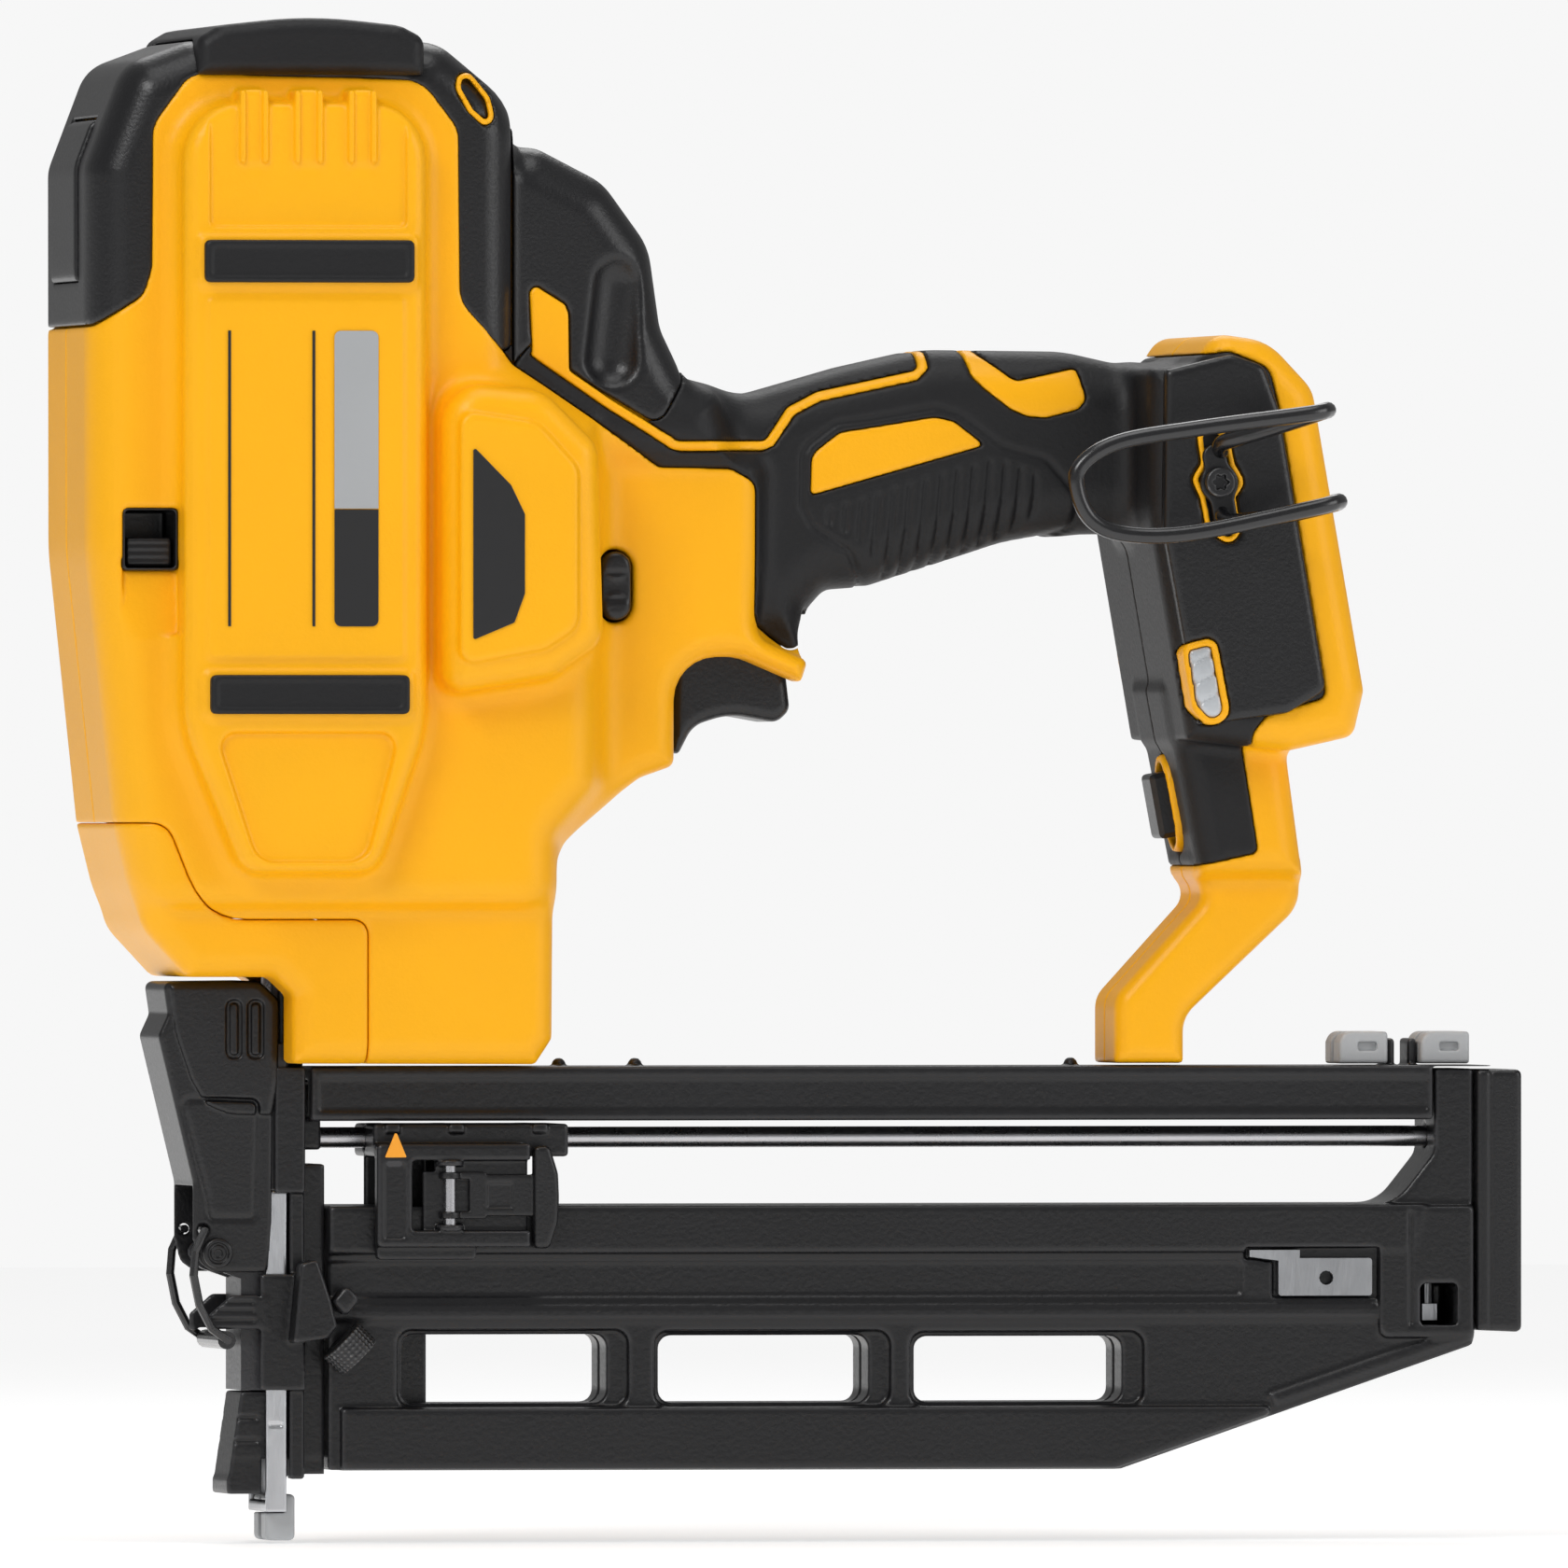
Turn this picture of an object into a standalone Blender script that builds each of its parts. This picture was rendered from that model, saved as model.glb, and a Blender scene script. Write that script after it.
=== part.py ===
"""Cordless finish nailer without its battery, as separate pieces.

Lengths in this file are millimetres; MM turns them into Blender's metres.
Frame: the origin is the middle of the no-mar tip's rest face. +Z runs up the drive line,
+X from the nose to the back of the magazine, and -Y is the tool's left side.
Outlines are lists of (x, z, corner radius) seen from the left side.
"""

import math

import bmesh
import bpy
from mathutils import Matrix, Vector

MM = 0.001
GAP = 0.3
ARC_STEPS = 3
ROUND_SIDES = 20

# Driving dimensions
BODY_HALF = 34.0
PANEL_HALF = 42.0
BUMP_HALF = 46.0
LOWER_HALF = 28.0
THROAT_HALF = 22.0
HANDLE_HALF = 14.0
FOOT_HALF = 36.0
STEM_HALF = 20.0
COLUMN_HALF = 14.0
WALL = 3.0
PARTING = 0.15

DRIVE_X = -3.5
BLADE_HALF = 1.6
BLADE_BOTTOM = 86.0
DRIVER_TOP = 280.0
MOTOR_X, MOTOR_Z = 36.4, 208.0
FLYWHEEL_RADIUS = 22.0

MAG_FRONT = 7.7
MAG_BACK = 249.3
MAG_HALF = 11.5
RAIL_HALF = 13.0
MAG_TOP = 98.2
RAIL_BOTTOM = 86.8
SLOT_FLOOR = 69.3
SLOT_BACK = 241.0
ROD_Z = 83.4
ROD_RADIUS = 2.2

FOOT_TILT = math.radians(10.4)
LATCH_PIVOT = (-16.0, 59.6)
DOOR_PIVOT = (-8.0, 95.0)
BAIL_PIVOT = (-18.8, 64.4)
CROSSBAR = (-14.0, 41.6)
TRIGGER_PIVOT = (84.0, 186.0)

# Side outlines
BODY = [(-44.4, 251.2, 0), (-44.4, 205, 60), (-38.9, 148.9, 0), (-29.4, 148.9, 4), (-21.4, 128.9, 14),
        (61.0, 128.9, 0), (61.0, 231.4, 0), (43.5, 243, 4), (31.5, 252.5, 10), (31.5, 302.4, 12),
        (0, 304.4, 0), (-32.5, 303.2, 12), (-32.5, 258.5, 5)]
PANEL = [(-27, 297, 10), (-27, 166, 30), (-18, 137.5, 10), (16, 137.5, 10), (23.8, 166, 30), (23.8, 297, 10)]
BUMP = [(28, 239, 8), (52, 237, 12), (60, 222, 8), (60, 184, 8), (50, 178.5, 8), (28, 176, 4)]
LOWER = [(13.6, 98.7, 0), (49, 98.7, 0), (52.5, 104, 2), (52.5, 145, 0), (13.6, 145, 0)]
THROAT = [(50, 139.8, 0), (71, 157.5, 8), (79.2, 160.5, 2), (79.2, 182.9, 6), (88, 184.5, 4),
          (95.8, 188, 2), (95.6, 222, 4), (75.5, 222, 3), (50, 238.9, 0)]
LIP = [(86, 183.6, 0), (93, 183.1, 8), (105.9, 177.6, 0.8), (107.4, 182.3, 1.5), (97, 186.4, 3),
       (94, 192, 0), (86, 192, 0)]
HANDLE = [(80.4, 221, 0), (80.4, 238.4, 0), (95, 238, 15), (127, 246.3, 20), (166, 246.3, 20),
          (186, 242.6, 0), (186, 211, 0), (150, 207, 30), (121, 197.6, 10), (110.5, 196.8, 4),
          (107.7, 183.5, 0), (97, 187, 0), (90, 200, 0)]
FOOT = [(176.5, 209, 0), (184.6, 166, 0), (206.5, 163.6, 0), (220, 166.6, 3), (222.2, 176, 3),
        (211, 239.5, 5), (201, 249.4, 8), (191.5, 250.4, 6), (185, 243, 3), (176.5, 243, 0)]
STEM = [(183.4, 172, 0), (188.8, 142, 0), (190, 137.6, 0), (212.2, 137.6, 0), (208, 172, 0)]
COLUMN = [(173, 98.7, 0), (173, 113, 3), (176, 118, 3), (191.4, 133, 2), (190, 140, 0), (212, 140, 0),
          (212.4, 131, 6), (187.8, 107.5, 6), (187.8, 98.7, 0)]
NOSE_COVER = [(-24, 117, 2), (-33.5, 127, 8), (-39.3, 148.6, 0), (-29.7, 148.6, 5), (-21.7, 128.6, 14),
              (13.3, 128.6, 3), (13.3, 98.7, 0), (-2, 98.7, 0), (-2, 112, 0), (-6, 117, 3)]
CAP = [(-45, 251.8, 0), (-45, 284, 8), (-37, 305, 6), (-24, 309.6, 3), (28, 309.6, 8), (43.4, 297, 12),
       (43.4, 242.5, 0), (20, 242.5, 0), (20, 262, 0), (-30, 262, 0)]
GUARD = [(-46.5, 260, 0), (-46.5, 282, 4), (-41, 292.8, 5), (-35.3, 296, 1), (-35.3, 268, 2), (-40, 263, 2)]
SHROUD = [(43.7, 287.6, 0), (50, 288.6, 3), (64, 281.5, 8), (74.6, 268, 12), (76.3, 250, 8),
          (80.1, 240.6, 0), (80.1, 212, 0), (43.7, 212, 0)]
TOP_BUMPER = [(-23.6, 304.9, 0), (-23.6, 312.8, 3), (0, 315, 0), (24, 312.8, 3), (24, 304.9, 0)]
GRIP = [(96, 190, 2), (107.6, 184.9, 1), (110.5, 197.2, 4), (121, 198, 10), (150, 207.4, 30),
        (170, 210.2, 0), (170, 245.4, 0), (127, 245.9, 20), (104, 239, 10), (96, 238, 0)]
FOOT_PANEL = [(179, 242.6, 0), (193, 246, 3), (200, 243.6, 3), (203.4, 234.5, 4), (213.3, 176, 3),
              (205, 171.2, 3), (186, 168.6, 0), (178.6, 209, 0)]
LED = [(181.8, 185.3, 1), (188.3, 186.4, 1), (191.2, 171, 2), (188, 169.2, 2), (183.6, 172.6, 1)]
TRIGGER = [(79.9, 163.2, 1), (81.6, 162.7, 1), (84, 168.4, 4), (92, 171.3, 10), (102.8, 169.7, 2.5),
           (105.3, 172, 2.5), (104.6, 179, 0), (103, 187, 0), (88, 189.6, 0), (80.4, 187, 0)]
TRIGGER_ROOM = [(79.4, 150, 0), (107.6, 150, 0), (108.2, 193, 0), (79.4, 193, 0)]
LEVER = [(-27.2, 115.6, 1.5), (-26.2, 109, 1), (-28.2, 104.6, 1.5), (-20.9, 74.3, 0), (-20.9, 62.4, 2),
         (-19.4, 58, 2), (-17, 55.6, 2), (-5.2, 55.6, 1), (-4.4, 66, 0), (-4.2, 88, 0), (-3, 95, 0),
         (-2.8, 112, 3), (-7, 115.9, 4)]
LEVER_ROOM = [(-23.4, 113, 0), (-24.6, 104.8, 0), (-17.4, 74, 0), (-30, 72, 0), (-30, 50, 0), (2, 50, 0),
              (2, 118, 0), (-8, 118, 0), (-8, 113, 0)]
EAR = [(-6.7, 50.9, 0), (-13.3, 50.9, 0), (-17.6, 46.8, 0), (-17.6, 43.3, 0), (-16.1, 43.3, 0),
       (-15.8, 43.9, 0), (-6.7, 43.9, 0)]
DOOR_LUG = [(-9.5, 70, 0), (-9.5, 54, 0), (-16, 56.3, 2), (-19.3, 59.6, 2), (-16, 62.9, 2)]
MAGAZINE = [(MAG_FRONT, 14.5, 0), (174.7, 14.3, 0), (MAG_BACK, 40, 0), (MAG_BACK, 97.6, 0),
            (SLOT_BACK, 97.6, 0), (SLOT_BACK, 76, 0), (233, 67.8, 0), (225, SLOT_FLOOR, 0),
            (MAG_FRONT, SLOT_FLOOR, 0)]
PUSHER_FRAME = [(16.8, 60.8, 0.8), (49.2, 60.8, 0), (49.2, 64.0, 0), (24.4, 64.0, 0), (24.4, 79.0, 0),
                (49.2, 79.0, 0), (49.2, 82.2, 0), (16.8, 82.2, 0.8)]
THUMB_PAD = [(49.9, 60.4, 1), (53.8, 60.4, 1), (55, 71, 12), (53.8, 81.9, 1), (49.9, 81.9, 1)]

YELLOW = ((0.93, 0.47, 0.02), 0.45, 0.0)
BLACK = ((0.035, 0.035, 0.038), 0.5, 0.0)
RUBBER = ((0.03, 0.03, 0.032), 0.75, 0.0)
GREY_TIP = ((0.55, 0.56, 0.57), 0.4, 0.0)
STEEL = ((0.6, 0.6, 0.62), 0.3, 1.0)
ZINC = ((0.75, 0.76, 0.78), 0.35, 1.0)
ALUMINIUM = ((0.62, 0.63, 0.65), 0.4, 1.0)
BOARD = ((0.03, 0.22, 0.09), 0.5, 0.0)
ORANGE = ((0.9, 0.4, 0.04), 0.6, 0.0)
CLEAR = ((0.85, 0.87, 0.9), 0.1, 0.0)


def clear_scene():
    for item in list(bpy.data.objects):
        bpy.data.objects.remove(item, do_unlink=True)


def corner_data(corners, i):
    """Unit directions into and out of corner i, and whether the outline turns left there."""
    here = Vector(corners[i][:2])
    into = (here - Vector(corners[i - 1][:2])).normalized()
    out = (Vector(corners[(i + 1) % len(corners)][:2]) - here).normalized()
    return here, into, out, into.x * out.y - into.y * out.x


def winding(corners):
    area = sum(a[0] * b[1] - b[0] * a[1] for a, b in zip(corners, corners[1:] + corners[:1]))
    return 1 if area > 0 else -1


def inset(corners, distance):
    """The outline moved inwards by distance; a negative distance moves it outwards."""
    side = winding(corners)
    moved = []
    for i, corner in enumerate(corners):
        here, into, out, turn = corner_data(corners, i)
        normal_in = Vector((-into.y, into.x)) * side
        normal_out = Vector((-out.y, out.x)) * side
        here = here + (normal_in + normal_out) * (distance / (1 + normal_in.dot(normal_out)))
        radius = corner[2]
        if radius:
            radius = max(radius - distance * (1 if turn * side > 0 else -1), 0.05)
        moved.append((here.x, here.y, radius))
    return moved


def rounded(corners):
    """The outline's points, with an arc at each corner that has a radius."""
    points = []
    for i, corner in enumerate(corners):
        here, into, out, turn = corner_data(corners, i)
        radius = corner[2]
        angle = into.angle(out)
        if not radius or angle < 0.02:
            points.append(here)
            continue
        side = 1 if turn > 0 else -1
        start = here - into * radius * math.tan(angle / 2)
        centre = start + Vector((-into.y, into.x)) * side * radius
        for k in range(ARC_STEPS + 1):
            spin = Matrix.Rotation(side * angle * k / ARC_STEPS, 2)
            points.append(centre + spin @ (start - centre))
    return points


def add_object(name, verts, faces):
    mesh = bpy.data.meshes.new(name)
    work = bmesh.new()
    made = [work.verts.new(Vector(v) * MM) for v in verts]
    for face in faces:
        work.faces.new([made[i] for i in face])
    bmesh.ops.recalc_face_normals(work, faces=work.faces[:])
    work.to_mesh(mesh)
    work.free()
    item = bpy.data.objects.new(name, mesh)
    bpy.context.scene.collection.objects.link(item)
    return item


def loft(name, rings):
    """A closed solid through rings of the same number of points."""
    count = len(rings[0])
    verts = [point for ring in rings for point in ring]
    faces = [list(range(count)), list(range(len(verts) - count, len(verts)))]
    for level in range(len(rings) - 1):
        for i in range(count):
            j = (i + 1) % count
            base = level * count
            faces.append([base + i, base + j, base + count + j, base + count + i])
    return add_object(name, verts, faces)


def prism(corners, low, high, chamfer_low=0.0, chamfer_high=0.0, name="piece"):
    """A side outline extruded across the tool from y = low to y = high."""
    levels = [(low, chamfer_low)]
    if chamfer_low:
        levels.append((low + chamfer_low, 0))
    if chamfer_high:
        levels.append((high - chamfer_high, 0))
    levels.append((high, chamfer_high))
    rings = [[(p.x, y, p.y) for p in rounded(inset(corners, depth) if depth else corners)]
             for y, depth in levels]
    return loft(name, rings)


def block(x0, x1, y0, y1, z0, z1, name="piece"):
    return prism([(x0, z0, 0), (x1, z0, 0), (x1, z1, 0), (x0, z1, 0)], y0, y1, name=name)


def rod(start, end, radius, sides=ROUND_SIDES, end_radius=None, name="piece"):
    """A round bar between two points."""
    start, end = Vector(start), Vector(end)
    turn = (end - start).to_track_quat("Z", "Y")
    rings = []
    for centre, size in ((start, radius), (end, end_radius or radius)):
        rings.append([centre + turn @ Vector((size * math.cos(a), size * math.sin(a), 0))
                      for a in (2 * math.pi * k / sides for k in range(sides))])
    return loft(name, rings)


def tube_along(points, radius, sides=8, name="piece"):
    """A round wire along a list of points, with flat ends."""
    points = [Vector(p) for p in points]
    rings = []
    side = None
    for i, point in enumerate(points):
        ahead = points[min(i + 1, len(points) - 1)] - points[max(i - 1, 0)]
        ahead.normalize()
        if side is None:
            side = ahead.orthogonal().normalized()
        side = (side - ahead * side.dot(ahead)).normalized()
        other = ahead.cross(side)
        rings.append([point + radius * (math.cos(a) * side + math.sin(a) * other)
                      for a in (2 * math.pi * k / sides for k in range(sides))])
    return loft(name, rings)


def smooth_path(points, steps=4):
    """Catmull-Rom curve through the given points."""
    points = [Vector(p) for p in points]
    ends = [points[0] * 2 - points[1]] + points + [points[-1] * 2 - points[-2]]
    path = []
    for a, b, c, d in zip(ends, ends[1:], ends[2:], ends[3:]):
        for k in range(steps):
            t = k / steps
            path.append(0.5 * (2 * b + (c - a) * t + (2 * a - 5 * b + 4 * c - d) * t * t
                               + (3 * b - a - 3 * c + d) * t ** 3))
    return path + [points[-1]]


def coil(centre_x, centre_y, low, high, radius, wire, turns, name):
    """A compression spring with its axis along Z."""
    per_turn = 8
    count = turns * per_turn
    points = []
    for k in range(count + 1):
        angle = 2 * math.pi * k / per_turn
        points.append((centre_x + radius * math.cos(angle), centre_y + radius * math.sin(angle),
                       low + wire + (high - low - 2 * wire) * k / count))
    return tube_along(points, wire, sides=5, name=name)


def combine(base, operation, pieces):
    """Booleans the pieces into base one by one and removes them."""
    for piece in pieces:
        step = base.modifiers.new("step", "BOOLEAN")
        step.operation = operation
        step.solver = "EXACT"
        step.object = piece
        bpy.context.view_layer.update()
        result = bpy.data.meshes.new_from_object(base.evaluated_get(bpy.context.evaluated_depsgraph_get()))
        base.modifiers.clear()
        base.data = result
        bpy.data.objects.remove(piece, do_unlink=True)
    return base


def join(base, *pieces):
    return combine(base, "UNION", pieces)


def cut(base, *pieces):
    return combine(base, "DIFFERENCE", pieces)


def flipped(item, name="piece"):
    """The mirror image across the tool's middle plane."""
    work = bmesh.new()
    work.from_mesh(item.data)
    bmesh.ops.scale(work, vec=(1, -1, 1), verts=work.verts[:])
    bmesh.ops.reverse_faces(work, faces=work.faces[:])
    mesh = bpy.data.meshes.new(name)
    work.to_mesh(mesh)
    work.free()
    twin = bpy.data.objects.new(name, mesh)
    bpy.context.scene.collection.objects.link(twin)
    return twin


def finish(item, name, look, pivot=None):
    """Names a piece, gives it its material, and puts its origin on its joint's axis."""
    colour, roughness, metallic = look
    item.name = name
    item.data.name = name
    material = bpy.data.materials.new(name)
    material.use_nodes = True
    shader = material.node_tree.nodes["Principled BSDF"]
    shader.inputs["Base Color"].default_value = (*colour, 1)
    shader.inputs["Roughness"].default_value = roughness
    shader.inputs["Metallic"].default_value = metallic
    item.data.materials.clear()
    item.data.materials.append(material)
    item.data.set_sharp_from_angle(angle=math.radians(35))
    if pivot:
        offset = Vector(pivot) * MM
        item.data.transform(Matrix.Translation(-offset))
        item.location = offset
    return item


def tilted(x, z, along, out):
    """A point beside (x, z), measured up the foot's slope and forward out of it."""
    return (x - along * math.sin(FOOT_TILT) - out * math.cos(FOOT_TILT),
            z + along * math.cos(FOOT_TILT) - out * math.sin(FOOT_TILT))


def tilted_bar(x, z, low, high, inner, outer, radius=0.0):
    """A rectangle square to the foot's slope, as an outline."""
    return [(*tilted(x, z, along, out), radius)
            for along, out in ((low, inner), (high, inner), (high, outer), (low, outer))]


# --- Housing -------------------------------------------------------------------------------

BATTERY_FACE = (217.6, 203.0)
RAIL_DEPTH = 8.0
MODE_FACE = (186.9, 152.6)


def housing_solid():
    """Outside of the left half, solid."""
    parts = [prism(PANEL, -PANEL_HALF, -30, 2.5), prism(BUMP, -BUMP_HALF, -25, 4),
             prism(LOWER, -LOWER_HALF, -PARTING, 3.5), prism(THROAT, -THROAT_HALF, -PARTING, 4),
             prism(LIP, -HANDLE_HALF, -PARTING, 1),
             prism(HANDLE, -HANDLE_HALF, -PARTING, 3), prism(FOOT, -FOOT_HALF, -PARTING, 3),
             prism(STEM, -STEM_HALF, -PARTING, 3), prism(COLUMN, -COLUMN_HALF, -PARTING, 3)]
    return join(prism(BODY, -BODY_HALF, -PARTING, 6), *parts)


def housing_hollows():
    """The room inside the left half, open to the parting plane."""
    open_side = 1.0
    foot_room = [(182, 208, 0), (187.4, 170, 0), (208.5, 170, 0), (204, 200, 0), (199, 232, 3),
                 (186, 238, 3), (181, 238, 0)]
    return [prism(inset(BODY, WALL), -BODY_HALF + WALL, open_side, 4),
            prism(inset(PANEL, WALL), -PANEL_HALF + WALL, -20),
            prism(inset(BUMP, WALL), -BUMP_HALF + WALL, -20),
            prism(inset(LOWER, WALL), -LOWER_HALF + WALL, open_side, 2),
            prism(inset(THROAT, WALL), -THROAT_HALF + WALL, open_side, 3),
            block(20, 47, -LOWER_HALF + 2 * WALL, open_side, 120, 135),
            block(54, 68, -THROAT_HALF + 2 * WALL, open_side, 175, 215),
            prism(inset(HANDLE, WALL), -HANDLE_HALF + WALL, open_side),
            block(90, 120, -HANDLE_HALF + WALL, open_side, 205, 232),
            block(89, 104, -HANDLE_HALF + WALL, open_side, 192, 206),
            prism(foot_room, -FOOT_HALF + WALL, open_side),
            block(170, 190, -HANDLE_HALF + WALL, open_side, 215, 236),
            prism(inset(STEM, WALL), -STEM_HALF + WALL, open_side),
            block(190, 204, -STEM_HALF + WALL, open_side, 155, 180)]


def housing_openings():
    """Everything that is cut through the wall of both halves."""
    middle = 5.0
    return [prism(TRIGGER_ROOM, -11, middle),
            prism(tilted_bar(*BATTERY_FACE, -45, 30, 3, RAIL_DEPTH), -30, middle),
            prism(tilted_bar(*BATTERY_FACE, -46, 29, -9, 3.2), -26, middle),
            prism(tilted_bar(*MODE_FACE, -8.9, 8.9, -6.1, 5.2), -5.85, middle),
            prism([(62.3, 190.3, 3.4), (69.7, 190.3, 3.4), (69.7, 205.3, 3.4), (62.3, 205.3, 3.4)],
                  -40, middle),
            prism(inset(LED, -GAP), -40, -30), block(13.4, 50, -12.5, middle, 96, 103),
            block(-8, 16, -6.5, middle, 125, 134),
            rod((190, -40, 219.2), (190, -30, 219.2), 2.2, 12)]


def build_housing():
    left = housing_solid()
    cut(left, *housing_hollows())
    cut(left, *housing_openings())
    right = flipped(left)
    window = prism([(-46, 200.8, 0), (-27.5, 200.8, 0), (-27.5, 213.8, 0), (-46, 213.8, 0)], -36, -16)
    cut(left, window)
    finish(left, "left_shell", YELLOW)
    finish(right, "right_shell", YELLOW)

    cover = prism(NOSE_COVER, -LOWER_HALF, LOWER_HALF, 2.5, 2.5)
    roof_open = [(-35, 160, 0), (-24.5, 122, 0), (-2, 120, 0), (20, 120, 0), (20, 160, 0)]
    cut(cover, prism(roof_open, -LOWER_HALF + WALL, LOWER_HALF - WALL),
        block(1.2, 20, -LOWER_HALF + WALL, LOWER_HALF - WALL, 101.7, 122),
        block(-12, 20, -12.5, 12.5, 95, 125))
    finish(cover, "nose_cover", YELLOW)


def build_cap():
    grown = inset(BODY, -GAP)
    cap = prism(CAP, -30, 30, 3, 3)
    cut(cap, prism(grown, -40, 40), prism(inset(GUARD, -GAP), -16.3, 16.3))
    finish(cap, "top_cap", BLACK)
    guard = prism(GUARD, -16, 16, 2, 2)
    cut(guard, prism(grown, -40, 40))
    finish(guard, "front_guard", BLACK)
    shroud = prism(SHROUD, -30, 30, 3, 3)
    cut(shroud, prism(grown, -40, 40), prism(inset(THROAT, -GAP), -40, 40))
    finish(shroud, "rear_shroud", BLACK)
    bumper = prism(TOP_BUMPER, -36.5, 36.5, 2, 2)
    cut(bumper, prism(inset(CAP, -GAP), -30.3, 30.3), prism(grown, -34.3, 34.3))
    finish(bumper, "top_bumper", RUBBER)


def build_side_rubber():
    for level, (x0, x1, z0, z1) in (("upper", (-23.5, 20.5, 260, 269)), ("lower", (-22.3, 19.5, 171, 179.3))):
        strip = prism([(x0, z0, 1), (x1, z0, 1), (x1, z1, 1), (x0, z1, 1)], -PANEL_HALF - 2.6,
                      -PANEL_HALF - GAP, 1)
        finish(flipped(strip), f"{level}_bumper_right", RUBBER)
        finish(strip, f"{level}_bumper_left", RUBBER)
    grip = prism(GRIP, -17.3, -HANDLE_HALF - GAP, 1.5)
    cut(grip, prism(inset(THROAT, -GAP), -40, 40))
    finish(flipped(grip), "grip_right", RUBBER)
    finish(grip, "grip_left", RUBBER)
    panel = prism(FOOT_PANEL, -FOOT_HALF - 2, -FOOT_HALF - GAP, 0.8)
    slot = tilted_bar(190.4, 217.6, -11.5, 11.5, -3.6, 3.6, 2)
    cut(panel, prism(inset(LED, -GAP), -40, -30), prism(slot, -42, -34))
    finish(flipped(panel), "foot_panel_right", BLACK)
    finish(panel, "foot_panel_left", BLACK)
    lens = prism(LED, -FOOT_HALF - 2.4, -FOOT_HALF + WALL, 0.8)
    finish(flipped(lens), "led_lens_right", CLEAR)
    finish(lens, "led_lens_left", CLEAR)


# --- Controls ------------------------------------------------------------------------------

def build_controls():
    finish(prism(TRIGGER, -10.6, 10.6, 0.6, 0.6), "trigger", BLACK, (TRIGGER_PIVOT[0], 0, TRIGGER_PIVOT[1]))
    finish(block(90, 102, -6, 6, 194, 203), "trigger_switch", BLACK)
    pill = [(62.7, 190.7, 3.2), (69.3, 190.7, 3.2), (69.3, 204.9, 3.2), (62.7, 204.9, 3.2)]
    button = prism(pill, -THROAT_HALF - 2.6, THROAT_HALF + 0.2, 1, 1)
    finish(button, "lock_off_button", BLACK, (66, 0, 197.8))
    lever = prism([(-38, 201.4, 1), (-28, 201.4, 1), (-28, 207.8, 1), (-38, 207.8, 1)], -31, -21, 1)
    finish(lever, "stall_lever", BLACK, (-33, -26, 204.6))
    switch = prism(tilted_bar(*MODE_FACE, -6.8, 6.8, -2.6, 4, 1), -5.5, 5.5, 1, 1)
    finish(switch, "mode_switch", BLACK, (MODE_FACE[0], 0, MODE_FACE[1]))
    finish(prism(tilted_bar(196, 202, -24, 24, -0.8, 0.8), -22, 22), "control_board", BOARD)
    terminal = prism(tilted_bar(*BATTERY_FACE, 3, 27, 1.4, 7.7), -14, 14)
    slots = [prism(tilted_bar(*BATTERY_FACE, 0, 24, -1, 6.4), y - 0.8, y + 0.8) for y in (-10, -5, 0, 5, 10)]
    finish(cut(terminal, *slots), "terminal_block", BLACK)


def build_hook():
    seat = -38.2
    half = [(190.6, seat, 225.2), (190.2, -41.5, 227.2), (194, -46, 228.6), (202, -52.5, 231.3),
            (208.2, -58.5, 233.6), (208.2, -62.8, 233.9), (203, -65, 233), (180, -66, 230),
            (164, -66, 227.2), (156.2, -66, 222.5), (155.4, -66, 217.2)]
    other = [(158.6, -66, 211), (166, -66, 208.2), (180, -66, 208.6), (204.6, -65, 213.6),
             (210.4, -62.8, 215), (210.6, -58.5, 214.6), (203, -52.5, 212.6), (196, -46, 211.4),
             (191.6, -41.5, 211.2), (190.6, seat, 213.2)]
    hook = tube_along(smooth_path(half + other, 3), 1.7, 8)
    plate = prism(tilted_bar(190.4, 217.9, -9, 9, -2.6, 2.6, 1), seat - 1.6, seat + 1.6)
    join(hook, plate)
    cut(hook, rod((190, seat - 9, 219.2), (190, seat + 9, 219.2), 2.1, 12))
    finish(hook, "belt_hook", STEEL)
    screw = rod((190, seat - 4.2, 219.2), (190, seat - 1.9, 219.2), 3.2, 16)
    join(screw, rod((190, seat - 3, 219.2), (190, -31, 219.2), 1.7, 12))
    cut(screw, rod((190, seat - 5, 219.2), (190, seat - 3.4, 219.2), 1.4, 6))
    finish(screw, "hook_screw", BLACK)


# --- Drive ---------------------------------------------------------------------------------

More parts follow.
